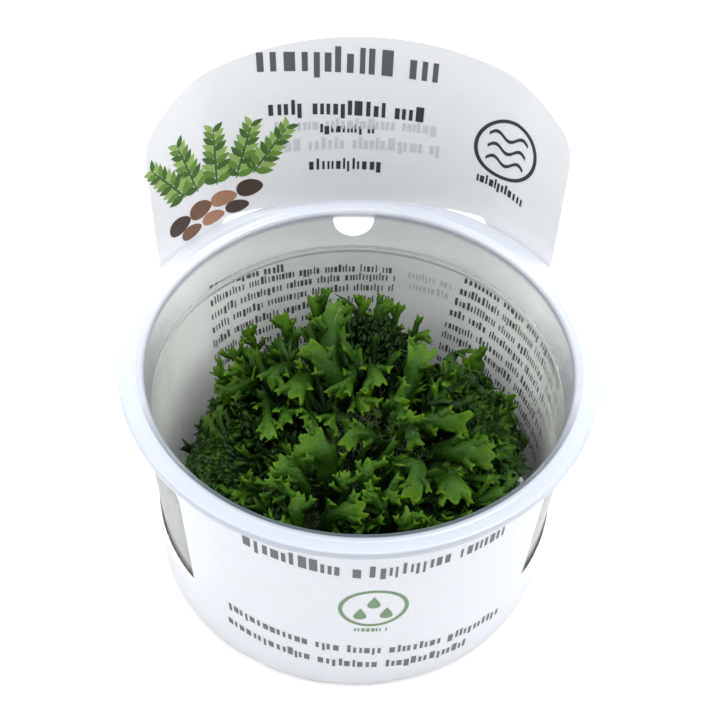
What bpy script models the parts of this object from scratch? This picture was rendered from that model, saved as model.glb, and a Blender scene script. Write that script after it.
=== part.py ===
"""A tub of liverwort grown in sterile culture: clear plastic tub, printed card sleeve, and the plant.

Units are metres, +Z is up. The origin is the middle of the tub's underside.
The sleeve's tall header stands at +Y and its front panel faces -Y.
"""

import math

import bmesh
import bpy
from mathutils import Vector, noise

MM = 0.001

# Tub: one turned moulding. Every width is a radius.
RIM_RADIUS = 50.5 * MM
RIM_HEIGHT = 59.4 * MM
RIM_THICKNESS = 1.3 * MM
LIP_DROP = 0.5 * MM
MOUTH_RADIUS = 45.0 * MM
MOUTH_HEIGHT = 57.8 * MM
LEDGE_RADIUS = 44.1 * MM
LEDGE_HEIGHT = 47.8 * MM
WALL_TOP_RADIUS = 46.0 * MM
WALL_TOP_HEIGHT = 46.2 * MM
BASE_RADIUS = 43.6 * MM
WALL = 0.85 * MM
FLOOR = 1.0 * MM
TUB_SEGMENTS = 44

# Sleeve: card wrapped round the tub. Its shape is a ruled band from a bottom circle to a top curve.
CARD = 0.45 * MM
SLEEVE_BOTTOM = 1.2 * MM
SLEEVE_BOTTOM_RADIUS = 44.2 * MM
SLEEVE_FRONT_RADIUS = 47.6 * MM
SLEEVE_HUG_RADIUS = 51.4 * MM
SLEEVE_TOP = 57.2 * MM
TOP_CURVE_HEIGHT = 59.75 * MM
CHORD_RADIUS = 74.7 * MM
CHORD_OFFSET = 27.0 * MM
HEADER_HALF_WIDTH = 51.0 * MM
HEADER_TOP = 103.6 * MM
HEADER_TOP_RADIUS = 97.0 * MM
HEADER_CORNER_RADIUS = 7.0 * MM
WINDOW_ANGLES = (92.0, 128.5)
WINDOW_HEIGHTS = (16.5 * MM, 51.0 * MM)
WINDOW_CORNER = 4.0 * MM
SLIT_ANGLE = 36.3
SLIT_HEIGHTS = (56.6 * MM, 60.4 * MM)
NOTCH_RADIUS = 4.8 * MM
NOTCH_HEIGHT = 54.6 * MM

# Plant: a dense cushion that stands on the tub's floor, and the big thalli that rise from it.
GAP = 0.3 * MM
CLEARANCE = 0.6 * MM
CUSHION_RADIUS = 39.5 * MM
CUSHION_HEIGHT = 27.0 * MM
CUSHION_SHOULDER = 13.0
CUSHION_EDGE = 0.42
TUFT_SIZE = 7.5 * MM
TUFT_RELIEF = 2.8 * MM
CUSHION_SPOKES = 56
CUSHION_RINGS = 14
THALLUS_THICKNESS = 1.1 * MM
THALLUS_EDGE = 0.5 * MM
THALLUS_STATIONS = 6
ROOT_DEPTH = 5.0 * MM
TOOTH_LENGTH = 1.6 * MM
ARCH = 0.12
FACING = Vector((0.0, -0.55, 0.83))

# Heaps and hollows of the cushion: the middle, the height and the spread of each, in mm.
HEAPS = (
    (-28.0, 17.0, 5.0, 6.5),
    (-19.0, 27.0, 7.0, 6.0),
    (-4.0, 33.0, 9.0, 6.5),
    (8.0, 31.0, 6.0, 6.0),
    (28.0, 19.0, 6.5, 6.5),
    (32.5, 5.0, 5.0, 7.0),
    (17.5, 29.0, -4.5, 4.0),
    (-12.0, 6.5, -7.0, 3.2),
    (-22.5, -5.5, -9.0, 4.2),
    (7.5, 21.5, -7.0, 3.4),
    (4.0, 7.0, -5.0, 4.5),
    (17.0, 3.0, -6.0, 3.2),
    (19.0, 18.5, -6.5, 3.2),
    (-8.5, -20.5, -7.0, 3.4),
    (26.0, -17.0, -7.0, 3.4),
    (-4.5, -6.5, -5.5, 3.6),
    (-16.5, -15.0, -6.0, 3.2),
)

# Each thallus: its name, then one row for each branch.
# A row holds the points of its middle line in mm, its width at each in mm, its teeth, and, for a
# side branch, the share of the first row's length at which it forks off.
THALLI = (
    ("crown_lobe", (((-4.5, 18, 32), (-5, 24.5, 35), (-4.5, 29, 38), (-3.5, 34, 39.5)), (4, 7, 7.5, 6), 3)),
    ("crown_back", (((-7.5, 33, 30), (-8.5, 33.5, 36), (-9.5, 36.5, 40)), (2.5, 3, 3), 2),
     (((-7.2, 35.4, 38), (-6.4, 37.2, 41)), (2, 2.4, 2.4), 2, 0.4)),
    ("left_blunt", (((-14, 29.5, 28), (-15.5, 30.5, 33), (-17, 33.5, 37)), (3, 3.2, 3), 2)),
    ("left_club", (((-22.5, 29, 25), (-23.5, 30, 30), (-25.5, 31.5, 34)), (2.2, 2.4, 2.8), 2)),
    ("left_vee", (((-26.5, 26.5, 23), (-27.5, 26, 29), (-29, 27, 32)), (2.5, 2.5, 2), 2),
     (((-25.5, 26, 30), (-24.5, 26.5, 32)), (2, 2.2, 1.8), 2, 0.4)),
    ("left_hand", (((-27.5, 22, 24), (-30, 21.5, 28), (-32.5, 22.5, 30)), (3, 3.5, 3.5), 3)),
    ("left_sprig", (((-23, 19, 30), (-25.5, 18, 33.5), (-28, 18, 36)), (2, 2.4, 2.2), 2)),
    ("left_strap", (((-21, 18.5, 31), (-25, 14, 34), (-28.5, 12.5, 33), (-31, 13, 30)), (2.5, 3.2, 3, 3.8), 3)),
    ("left_prong", (((-14, 20.5, 33.5), (-17.5, 16, 37.5), (-19, 13, 38), (-18, 11.5, 36)), (3, 3.5, 3.5, 3), 2)),
    ("left_fan", (((-10, 17.5, 33), (-12.5, 11.5, 37.5), (-14.5, 8, 37)), (4, 6, 6), 3)),
    ("left_drop", (((-20.5, 13, 31), (-20, 4.5, 34), (-19.5, -1, 33)), (2, 2.4, 4), 3)),
    ("left_cap", (((-16.5, 9, 31.5), (-16, 4.5, 35), (-15.5, 2, 34.5)), (2.5, 3.6, 3), 2)),
    ("mid_blade", (((-2, 12, 32), (-5, 13.5, 37.5), (-8.5, 16.5, 41), (-11, 20, 41)), (5, 7, 6, 3.5), 2)),
    ("mid_curl", (((-0.5, 19, 34.5), (-0.5, 11, 40), (-3, 7.5, 41), (-4, 6, 38.5)), (2.2, 3, 3.2, 2.6), 2)),
    ("mid_fork", (((-4, 7, 31.5), (-5, 3.5, 35), (-6.3, 1, 34.5)), (2.2, 2.8, 2.4), 2),
     (((-3, 2, 35.5), (-1.5, 0.5, 34.5)), (2, 2.6, 2.2), 2, 0.45)),
    ("mid_sprig", (((-9, 7, 31), (-10.5, 3.5, 35.5), (-12, 2, 35.5)), (2, 2.6, 2.4), 2),
     (((-9.5, 1, 36), (-9.3, -0.5, 35)), (2, 2.2, 2), 2, 0.5)),
    ("back_slim", (((0.5, 33, 30), (1.5, 33.5, 36), (3, 35.5, 40)), (2.2, 2.6, 3), 2)),
    ("back_hook", (((4, 30.5, 30), (5.5, 31, 36), (6.5, 33.5, 39.5), (9, 34.5, 39)), (2.6, 3, 3, 2.4), 2)),
    ("back_arm", (((9, 33, 28), (9.8, 33.5, 34), (11.5, 35.5, 38)), (2.2, 2.4, 2.4), 2)),
    ("back_stag", (((12, 29, 27), (14.5, 30, 32), (18, 29.5, 34)), (2.2, 2.6, 2.4), 2),
     (((15, 32, 34), (16, 33.5, 36)), (1.8, 2.2, 2), 2, 0.45)),
    ("tall_strap", (((11.5, 11.5, 30.5), (13, 15, 34), (14, 17.5, 37), (15.5, 21, 38.5)), (4, 5.2, 5.4, 6.8), 3)),
    ("right_lobe", (((29.5, 20.5, 22), (29, 21, 29), (27.5, 22.5, 34)), (4, 6, 4), 3)),
    ("right_hand", (((26, 15.5, 28), (23.5, 14, 33), (21, 12, 34)), (3, 4, 4), 2)),
    ("right_edge", (((34, 14, 20), (35, 13, 25), (35.5, 14, 30)), (3, 4, 4), 2)),
    ("long_strap", (((11, 3, 31), (15.5, 1.5, 35.5), (20.5, 1, 36), (25, 1.5, 34)), (4, 5, 5, 7), 3)),
    ("star_arm", (((9, -0.5, 31), (11, -2.5, 38.5), (12.5, -1, 41)), (2.4, 3.6, 3.4), 2),
     (((11.5, -5.5, 40), (12.5, -7.5, 38)), (2.6, 3.6, 4.2), 2, 0.6)),
    ("long_arch", (((6.5, -1, 30), (3, -2, 35), (-0.5, -2.5, 36), (-3, -5, 34.5)), (2.6, 3.2, 3.8, 3.2), 2)),
    ("saw_ribbon", (((3.5, 20.5, 33), (4.2, 15.5, 37), (5.2, 11.5, 36.5)), (3, 4.4, 4), 3)),
    ("mid_hand", (((0.5, 11, 32), (0.5, 7.5, 36), (2.5, 4.5, 36)), (2.6, 4, 4), 3)),
    ("tee_arm", (((6.5, 7.5, 31), (8.2, 6, 36), (11, 7, 37.5)), (2.4, 3.2, 3.4), 2),
     (((9.7, 4, 37), (10, 2.2, 36)), (2, 2.2, 2.4), 2, 0.6)),
    ("broad_lobe", (((-4.5, -11, 29.5), (-6.5, -10.5, 35.5), (-9, -8.5, 39), (-12, -6, 39)), (7, 9.5, 9.5, 7), 3)),
    ("lobe_arm", (((-11, -13, 29.5), (-14, -11, 33.5), (-17.5, -8, 34)), (3, 4, 3), 2)),
    ("tongue", (((17, -3, 29.5), (21, -6, 34.5), (25.5, -7, 35), (30, -6, 32.5)), (4, 7, 7.5, 6), 3)),
    ("front_arch", (((6, -9, 29.5), (8.5, -10, 35.5), (12.5, -12, 37.5), (12, -16.5, 36), (10.5, -19, 34)),
                    (4, 4.6, 4.6, 4.4, 4), 2)),
    ("front_curtain", (((17.5, -9, 29), (20, -12.5, 32.5), (21, -17, 31)), (4, 7, 7), 3)),
    ("front_stem", (((1.2, -14, 29), (1.6, -12.5, 34), (3, -9, 35)), (3, 3.4, 2.6), 2)),
    ("front_twig", (((-3, -15.5, 29), (-3, -15, 33.5), (-3, -12.5, 35.5)), (2, 2.8, 2.4), 3)),
    ("front_paw", (((4.5, -16.5, 29.5), (6, -17.2, 33), (8.2, -16.6, 34)), (2.4, 3.2, 3.2), 3)),
    ("front_broad", (((-7, -20, 29), (-3.5, -22, 33.5), (0.5, -21.5, 35.5)), (4, 5.5, 6), 3)),
    ("front_horn", (((-13.5, -23, 28), (-13.5, -21.5, 33.5), (-13, -18, 35)), (4, 4.6, 3.4), 3)),
    ("front_fork", (((-14, -15, 29), (-17.5, -15, 33), (-19.5, -13, 34)), (2.4, 2.8, 2.6), 2),
     (((-19.5, -17, 33.5), (-21, -17, 32.5)), (2, 2.2, 2), 2, 0.5)),
    ("front_bow", (((9, -25, 28), (9.5, -24, 32.5), (11, -22, 34)), (2.6, 3, 3.4), 2)),
    ("front_shoot", (((6, -20.5, 29.5), (3.5, -19, 34), (1, -17.5, 35)), (2.4, 3, 3.2), 3)),
)


def clear_scene():
    """Removes every object of the open file."""
    for old in list(bpy.data.objects):
        bpy.data.objects.remove(old)


def material(name, colour, roughness, transmission=0.0):
    """A Principled material of one colour."""
    made = bpy.data.materials.new(name)
    made.use_nodes = True
    shader = made.node_tree.nodes["Principled BSDF"]
    shader.inputs["Base Color"].default_value = (*colour, 1.0)
    shader.inputs["Roughness"].default_value = roughness
    shader.inputs["Metallic"].default_value = 0.0
    shader.inputs["Transmission Weight"].default_value = transmission
    return made


def add_object(name, mesh_data, made_of=None):
    """Closes a bmesh into a named object of one material."""
    mesh = bpy.data.meshes.new(name)
    mesh_data.to_mesh(mesh)
    mesh_data.free()
    thing = bpy.data.objects.new(name, mesh)
    bpy.context.collection.objects.link(thing)
    if made_of:
        mesh.materials.append(made_of)
    return thing


def hide_helper(thing):
    """Marks an object that only shapes others."""
    thing.hide_render = True
    thing.display_type = "WIRE"


def add_boolean(thing, helper, operation):
    """Cuts or joins a helper to a thing, and keeps the helper out of the model."""
    modifier = thing.modifiers.new(operation.title(), "BOOLEAN")
    modifier.operation = operation
    modifier.object = helper
    hide_helper(helper)


def smooth_step(low, high, value):
    """Rises from 0 at low to 1 at high."""
    share = min(max((value - low) / (high - low), 0.0), 1.0)
    return share * share * (3.0 - 2.0 * share)


def tub_profile():
    """The tub's section as radius and height: up the outside, over the rim, down the inside."""
    inner_top = WALL_TOP_RADIUS - WALL
    inner_base = BASE_RADIUS - WALL
    collar = MOUTH_RADIUS + WALL
    under = RIM_HEIGHT - RIM_THICKNESS
    edge = 0.4 * MM
    return (
        (BASE_RADIUS - 1.0 * MM, 0.0),
        (BASE_RADIUS, 1.0 * MM),
        (WALL_TOP_RADIUS, WALL_TOP_HEIGHT),
        (LEDGE_RADIUS + WALL + 0.15 * MM, LEDGE_HEIGHT + 0.6 * MM),
        (collar, MOUTH_HEIGHT - 1.2 * MM),
        (collar + 0.8 * MM, under),
        (RIM_RADIUS - 2.0 * edge, under),
        (RIM_RADIUS - 1.5 * edge, under - LIP_DROP),
        (RIM_RADIUS - 0.3 * edge, under - LIP_DROP),
        (RIM_RADIUS, under),
        (RIM_RADIUS, RIM_HEIGHT - edge),
        (RIM_RADIUS - edge, RIM_HEIGHT),
        (MOUTH_RADIUS + 1.6 * MM, RIM_HEIGHT),
        (MOUTH_RADIUS + 1.1 * MM, RIM_HEIGHT - 0.35 * MM),
        (MOUTH_RADIUS + 0.4 * MM, RIM_HEIGHT - 0.6 * MM),
        (MOUTH_RADIUS, MOUTH_HEIGHT),
        (LEDGE_RADIUS, LEDGE_HEIGHT),
        (LEDGE_RADIUS + 0.35 * MM, LEDGE_HEIGHT - 0.9 * MM),
        (inner_top, WALL_TOP_HEIGHT - 0.3 * MM),
        (inner_base + 0.1 * MM, FLOOR + 1.2 * MM),
        (inner_base - 1.1 * MM, FLOOR),
    )


def build_tub():
    """The tub, turned about the upright axis."""
    shape = bmesh.new()
    section = [shape.verts.new((0.0, 0.0, 0.0))]
    section += [shape.verts.new((radius, 0.0, height)) for radius, height in tub_profile()]
    section.append(shape.verts.new((0.0, 0.0, FLOOR)))
    edges = [shape.edges.new(pair) for pair in zip(section, section[1:])]
    bmesh.ops.spin(
        shape,
        geom=section + edges,
        axis=(0.0, 0.0, 1.0),
        cent=(0.0, 0.0, 0.0),
        angle=2.0 * math.pi,
        steps=TUB_SEGMENTS,
        use_merge=True,
    )
    bmesh.ops.remove_doubles(shape, verts=shape.verts, dist=0.00001)
    bmesh.ops.recalc_face_normals(shape, faces=shape.faces)
    tub = add_object("tub", shape, material("clear_plastic", (0.93, 0.95, 0.97), 0.12, 0.9))
    tub.data.shade_smooth()
    tub.data.set_sharp_from_angle(angle=math.radians(35.0))
    return tub


def top_curve_radius(angle):
    """The sleeve's distance from the axis at the top curve. The angle is from the back, +Y."""
    turn = abs(angle)
    held = min(turn, math.radians(60.0))
    chord = math.sqrt(CHORD_RADIUS**2 - (CHORD_OFFSET * math.sin(held)) ** 2)
    chord -= CHORD_OFFSET * math.cos(held)
    blend = 0.6 * MM
    near = max(blend - abs(chord - SLEEVE_HUG_RADIUS), 0.0) / blend
    back = min(chord, SLEEVE_HUG_RADIUS) - near * near * blend / 4.0
    front_share = smooth_step(math.radians(54.0), math.radians(100.0), turn)
    return back * (1.0 - front_share) + SLEEVE_FRONT_RADIUS * front_share


def sleeve_point(angle, height, offset=0.0):
    """A point on the middle of the card, or off it by an offset outwards."""
    rise = (height - SLEEVE_BOTTOM) / (TOP_CURVE_HEIGHT - SLEEVE_BOTTOM)
    radius = SLEEVE_BOTTOM_RADIUS + (top_curve_radius(angle) - SLEEVE_BOTTOM_RADIUS) * rise + offset
    return Vector((radius * math.sin(angle), radius * math.cos(angle), height))


def angle_at_width(width, height):
    """The angle whose arc from the back is a given width of card at a given height."""
    steps = 90
    step = math.radians(90.0) / steps
    run = 0.0
    here = sleeve_point(0.0, height)
    for number in range(1, steps + 1):
        there = sleeve_point(number * step, height)
        stretch = (there - here).length
        if run + stretch >= abs(width):
            return math.copysign((number - 1 + (abs(width) - run) / stretch) * step, width)
        run += stretch
        here = there
    return math.copysign(math.radians(90.0), width)


def header_top(width):
    """The header's upper edge: a broad arc with a rounded corner at each side."""
    corner_across = HEADER_HALF_WIDTH - HEADER_CORNER_RADIUS
    reach = HEADER_TOP_RADIUS - HEADER_CORNER_RADIUS
    centre = HEADER_TOP - HEADER_TOP_RADIUS
    corner_centre = centre + math.sqrt(reach**2 - corner_across**2)
    tangent_across = corner_across * HEADER_TOP_RADIUS / reach
    across = min(abs(width), HEADER_HALF_WIDTH)
    if across <= tangent_across:
        return centre + math.sqrt(HEADER_TOP_RADIUS**2 - across**2)
    return corner_centre + math.sqrt(max(HEADER_CORNER_RADIUS**2 - (across - corner_across) ** 2, 0.0))


def sleeve_sheet():
    """The card as a sheet: a band right round the tub, and the header that rises from its back."""
    header_columns = 26
    band_columns = 38
    widths = []
    for number in range(header_columns + 1):
        share = -1.0 + 2.0 * number / header_columns
        widths.append(HEADER_HALF_WIDTH * math.sin(share * math.pi / 2.0))
    half_angle = angle_at_width(HEADER_HALF_WIDTH, SLEEVE_TOP)
    angles = [angle_at_width(width, SLEEVE_TOP) for width in widths]
    front_turn = 2.0 * math.pi - 2.0 * half_angle
    for number in range(1, band_columns):
        angles.append(half_angle + front_turn * number / band_columns)

    shape = bmesh.new()
    low = [shape.verts.new(sleeve_point(angle, SLEEVE_BOTTOM)) for angle in wrap(angles)]
    mid = [shape.verts.new(sleeve_point(angle, SLEEVE_TOP)) for angle in wrap(angles)]
    count = len(angles)
    for number in range(count):
        after = (number + 1) % count
        shape.faces.new((low[number], mid[number], mid[after], low[after]))
    high = []
    for width in widths:
        top = header_top(width)
        high.append(shape.verts.new(sleeve_point(angle_at_width(width, top), top)))
    for number in range(header_columns):
        shape.faces.new((mid[number], high[number], high[number + 1], mid[number + 1]))
    return shape


def wrap(angles):
    """Brings angles into the half turn on each side of the back."""
    return [(angle + math.pi) % (2.0 * math.pi) - math.pi for angle in angles]


def opening_cutter(name, columns):
    """A cutter through the card: its columns hold an angle in radians, a lowest and a highest point."""
    reach = 5.0 * MM
    shape = bmesh.new()
    rings = []
    for angle, low, high in columns:
        corners = ((low, -reach), (low, reach), (high, reach), (high, -reach))
        rings.append([shape.verts.new(sleeve_point(angle, height, out)) for height, out in corners])
    for here, there in zip(rings, rings[1:]):
        for corner in range(4):
            after = (corner + 1) % 4
            shape.faces.new((here[corner], here[after], there[after], there[corner]))
    shape.faces.new(rings[0])
    shape.faces.new(rings[-1])
    bmesh.ops.recalc_face_normals(shape, faces=shape.faces)
    return add_object(name, shape)


def window_columns(side):
    """A window's outline: a tall opening with rounded corners, on one side of the tub."""
    first, last = (math.radians(angle) for angle in WINDOW_ANGLES)
    low, high = WINDOW_HEIGHTS
    corner_turn = WINDOW_CORNER / SLEEVE_BOTTOM_RADIUS
    shares = [math.sin(math.radians(step * 15.0)) for step in range(1, 6)]
    turns = [first + corner_turn * (1.0 - math.cos(math.asin(share))) for share in shares]
    turns += [first + (last - first) * step / 8.0 for step in range(1, 8)]
    turns += [last - corner_turn * (1.0 - math.cos(math.asin(share))) for share in reversed(shares)]
    columns = []
    for turn in turns:
        from_end = min(turn - first, last - turn, corner_turn)
        inset = WINDOW_CORNER * (1.0 - math.sqrt(1.0 - (1.0 - from_end / corner_turn) ** 2))
        foot = inset if turn - first < last - turn else inset * 0.35
        columns.append((side * turn, low + foot, high - inset))
    return columns


def slit_columns():
    """The slit that lets the rim through the back of the card, round at both ends."""
    low, high = SLIT_HEIGHTS
    middle = (low + high) / 2.0
    half = (high - low) / 2.0
    end = math.radians(SLIT_ANGLE)
    end_turn = half / SLEEVE_HUG_RADIUS
    turns = [end - end_turn * (1.0 - math.sin(math.radians(step * 18.0))) for step in range(5)]
    inner = end - end_turn
    turns = [inner * step / 9.0 for step in range(9)] + [inner] + turns[1:]
    half_columns = []
    for turn in turns:
        past = max(turn - inner, 0.0) / end_turn
        half_height = half * math.sqrt(1.0 - min(past, 0.98) ** 2)
        half_columns.append((turn, middle - half_height, middle + half_height))
    mirrored = [(-turn, foot, head) for turn, foot, head in reversed(half_columns[1:])]
    return mirrored + half_columns


def notch_columns():
    """The half-round thumb notch below the middle of the slit."""
    columns = []
    for step in range(-6, 7):
        across = NOTCH_RADIUS * math.sin(math.radians(step * 14.5))
        drop = math.sqrt(NOTCH_RADIUS**2 - across**2)
        angle = math.copysign(angle_at_width(across, NOTCH_HEIGHT), across)
        columns.append((angle, NOTCH_HEIGHT - drop, SLIT_HEIGHTS[0] + 1.0 * MM))
    return columns


def build_sleeve():
    """The card sleeve with its header, two side windows, slit and notch."""
    shape = sleeve_sheet()
    bmesh.ops.recalc_face_normals(shape, faces=shape.faces)
    sleeve = add_object("card_sleeve", shape, material("white_card", (0.86, 0.87, 0.89), 0.5))
    thick = sleeve.modifiers.new("Card thickness", "SOLIDIFY")
    thick.thickness = CARD
    thick.offset = 0.0
    thick.use_even_offset = True
    for side, name in ((-1.0, "window_left_cutter"), (1.0, "window_right_cutter")):
        add_boolean(sleeve, opening_cutter(name, window_columns(side)), "DIFFERENCE")
    add_boolean(sleeve, opening_cutter("slit_cutter", slit_columns()), "DIFFERENCE")
    add_boolean(sleeve, opening_cutter("notch_cutter", notch_columns()), "DIFFERENCE")
    sleeve.data.shade_smooth()
    sleeve.data.set_sharp_from_angle(angle=math.radians(35.0))
    return sleeve


def cushion_height(across, along):
    """How high the cushion stands above its foot at a place."""
    share = min(math.hypot(across, along) / CUSHION_RADIUS, 1.0)
    height = CUSHION_HEIGHT
    for middle_across, middle_along, rise, spread in HEAPS:
        away = (across - middle_across * MM) ** 2 + (along - middle_along * MM) ** 2
        height += rise * MM * math.exp(-away / (2.0 * (spread * MM) ** 2))
    return height * (1.0 - share**CUSHION_SHOULDER) ** CUSHION_EDGE


def cushion_shape():
    """The cushion as a closed lump, tufted all over."""
    foot = FLOOR + GAP
    shape = bmesh.new()
    rings = []
    for ring in range(1, CUSHION_RINGS + 1):
        share = math.sin(ring / CUSHION_RINGS * math.pi / 2.0) ** 0.8
        loop = []
        for spoke in range(CUSHION_SPOKES):
            turn = 2.0 * math.pi * (spoke + 0.5 * (ring % 2)) / CUSHION_SPOKES
            reach = CUSHION_RADIUS * share
            spot = Vector((reach * math.sin(turn), reach * math.cos(turn), 0.0))
            spot.z = foot + cushion_height(spot.x, spot.y) * (1.0 if ring < CUSHION_RINGS else 0.12)
            outward = Vector((spot.x, spot.y, 0.45 * CUSHION_RADIUS)).normalized()
            tuft = 0.5 - noise.voronoi(spot / TUFT_SIZE)[0][0]
            spot += outward * tuft * TUFT_RELIEF
            spot.z = max(spot.z, foot + 1.5 * MM)
            loop.append(shape.verts.new(spot))
        rings.append(loop)
    crown = shape.verts.new((0.0, 0.0, foot + cushion_height(0.0, 0.0)))
    base = []
    for vert in rings[-1]:
        base.append(shape.verts.new((vert.co.x * 0.9, vert.co.y * 0.9, foot)))
    rings.append(base)
    for spoke in range(CUSHION_SPOKES):
        after = (spoke + 1) % CUSHION_SPOKES
        shape.faces.new((crown, rings[0][spoke], rings[0][after]))
        for inner, outer in zip(rings, rings[1:]):
            shape.faces.new((inner[spoke], outer[spoke], outer[after]))
            shape.faces.new((inner[spoke], outer[after], inner[after]))
    shape.faces.new(list(reversed(base)))
    bmesh.ops.recalc_face_normals(shape, faces=shape.faces)
    return shape


def clearance_shape():
    """The cushion, grown all over by the clearance that thalli keep to it."""
    shape = cushion_shape()
    shape.normal_update()
    moves = [(vert, vert.normal.copy()) for vert in shape.verts]
    for vert, outward in moves:
        vert.co += outward * CLEARANCE
    return shape


def curve_point(points, share):
    """A point on a smooth curve through the given points, at a share of its span."""
    place = share * (len(points) - 1)
    part = min(int(place), len(points) - 2)
    local = place - part
    before = points[max(part - 1, 0)]
    start = points[part]
    end = points[part + 1]
    after = points[min(part + 2, len(points) - 1)]
    lead_in = (end - before) * 0.5
    lead_out = (after - start) * 0.5
    square = local * local
    cube = square * local
    return (
        start * (2 * cube - 3 * square + 1)
        + lead_in * (cube - 2 * square + local)
        + end * (3 * square - 2 * cube)
        + lead_out * (cube - square)
    )


def ribbon_frames(points):
    """Middle, direction and side of a ribbon at each station. The side is carried back from the tip."""
    last = THALLUS_STATIONS - 1
    middles = [curve_point(points, station / last) for station in range(last + 1)]
    aheads = []
    for station in range(last + 1):
        share = station / last
        ahead = curve_point(points, min(share + 0.05, 1.0)) - curve_point(points, max(share - 0.05, 0.0))
        aheads.append(ahead.normalized())
    side = aheads[-1].cross(FACING)
    if side.length < 0.5:
        side = Vector((1.0, 0.0, 0.0))
    sides = []
    for ahead in reversed(aheads):
        side = (side - ahead * side.dot(ahead)).normalized()
        sides.insert(0, side)
    return list(zip(middles, aheads, sides))


def ribbon_shape(points, widths, teeth):
    """One flat branch of a thallus: thicker along its middle, toothed at its tip."""
    columns = 2 * teeth - 1
    last = THALLUS_STATIONS - 1
    shape = bmesh.new()
    rings = []
    for station, (middle, ahead, side) in enumerate(ribbon_frames(points)):
        normal = side.cross(ahead).normalized()
        place = station / last * (len(widths) - 1)
        part = min(int(place), len(widths) - 2)
        width = (widths[part] + (widths[part + 1] - widths[part]) * (place - part)) * MM
        top = []
        bottom = []
        for column in range(columns):
            across = 2.0 * column / (columns - 1) - 1.0
            half_thick = (THALLUS_THICKNESS + (THALLUS_EDGE - THALLUS_THICKNESS) * abs(across)) / 2.0
            spot = middle + side * (across * width / 2.0) + normal * (ARCH * width * (0.5 - across**2))
            if station == last:
                spot += ahead * (TOOTH_LENGTH * (0.5 if column % 2 == 0 else -0.6))
                half_thick = THALLUS_EDGE / 2.0
            top.append(shape.verts.new(spot + normal * half_thick))
            bottom.append(shape.verts.new(spot - normal * half_thick))
        rings.append(top + list(reversed(bottom)))
    around = len(rings[0])
    for here, there in zip(rings, rings[1:]):
        for corner in range(around):
            after = (corner + 1) % around
            shape.faces.new((here[corner], here[after], there[after], there[corner]))
    for ring in (rings[0], rings[-1]):
        for column in range(columns - 1):
            shape.faces.new((ring[column], ring[column + 1], ring[around - 2 - column], ring[around - 1 - column]))
    bmesh.ops.recalc_face_normals(shape, faces=shape.faces)
    return shape


def build_thallus(name, branches, green, clearance):
    """A thallus: its stem branch, any side branches joined to it, and its foot fitted to the cushion."""
    stem_points = [Vector(point) * MM for point in branches[0][0]]
    root = stem_points[0] - Vector((0.0, 0.0, ROOT_DEPTH))
    stem_points.insert(0, root)
    stem_widths = (branches[0][1][0],) + branches[0][1]
    thallus = add_object("thallus_" + name, ribbon_shape(stem_points, stem_widths, branches[0][2]), green)
    for number, (points, widths, teeth, fork) in enumerate(branches[1:]):
        start = curve_point(stem_points, (1 + fork * (len(stem_points) - 2)) / (len(stem_points) - 1))
        branch_points = [start] + [Vector(point) * MM for point in points]
        branch = add_object(f"branch_{name}_{number}", ribbon_shape(branch_points, widths, teeth))
        add_boolean(thallus, branch, "UNION")
    add_boolean(thallus, clearance, "DIFFERENCE")
    return thallus


def build_plant():
    """The cushion and the big thalli that rise from it."""
    cushion = add_object("liverwort_cushion", cushion_shape(), material("deep_green", (0.03, 0.10, 0.02), 0.45))
    cushion.data.shade_smooth()
    clearance = add_object("cushion_clearance", clearance_shape())
    hide_helper(clearance)
    green = material("bright_green", (0.13, 0.36, 0.03), 0.35)
    for name, *branches in THALLI:
        build_thallus(name, branches, green, clearance)


clear_scene()
build_tub()
build_sleeve()
build_plant()
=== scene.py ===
"""The looks of a tub of liverwort grown in sterile culture: tub, printed card sleeve and plant."""

import math
import random

import bmesh
import bpy
import numpy
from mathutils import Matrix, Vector, noise


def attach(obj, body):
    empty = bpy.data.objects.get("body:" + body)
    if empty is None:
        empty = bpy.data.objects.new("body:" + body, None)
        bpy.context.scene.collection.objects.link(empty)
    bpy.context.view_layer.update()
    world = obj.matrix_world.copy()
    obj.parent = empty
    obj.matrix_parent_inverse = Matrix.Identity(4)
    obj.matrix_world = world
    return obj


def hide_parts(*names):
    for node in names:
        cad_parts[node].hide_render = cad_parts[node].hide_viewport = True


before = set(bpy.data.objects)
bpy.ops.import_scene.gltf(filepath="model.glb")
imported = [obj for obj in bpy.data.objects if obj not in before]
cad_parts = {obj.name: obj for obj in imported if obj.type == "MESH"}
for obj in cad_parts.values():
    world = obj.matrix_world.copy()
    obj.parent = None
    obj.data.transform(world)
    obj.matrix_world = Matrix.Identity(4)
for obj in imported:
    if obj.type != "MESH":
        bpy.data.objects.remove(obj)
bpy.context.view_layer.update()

MM = 0.001


# The tub is one injection-moulded cup of clear plastic with a tapered wall, a narrower collar above an
# inner ledge, and a wide flange round the mouth. It is turned from one section, with every corner eased.
RIM_RADIUS = 50.5 * MM
RIM_HEIGHT = 59.4 * MM
RIM_THICKNESS = 1.3 * MM
LIP_DROP = 0.5 * MM
MOUTH_RADIUS = 45.0 * MM
MOUTH_HEIGHT = 57.8 * MM
LEDGE_RADIUS = 44.1 * MM
LEDGE_HEIGHT = 47.8 * MM
WALL_TOP_RADIUS = 46.0 * MM
WALL_TOP_HEIGHT = 46.2 * MM
BASE_RADIUS = 43.6 * MM
WALL = 0.85 * MM
FLOOR = 1.0 * MM
TUB_STEPS = 180
CORNER_STEPS = 3
RING_RADIUS = 47.9 * MM
RING_DEPTH = 0.12 * MM
WELD = 0.01 * MM
TUB_SHARP_ANGLE = 40.0
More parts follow.
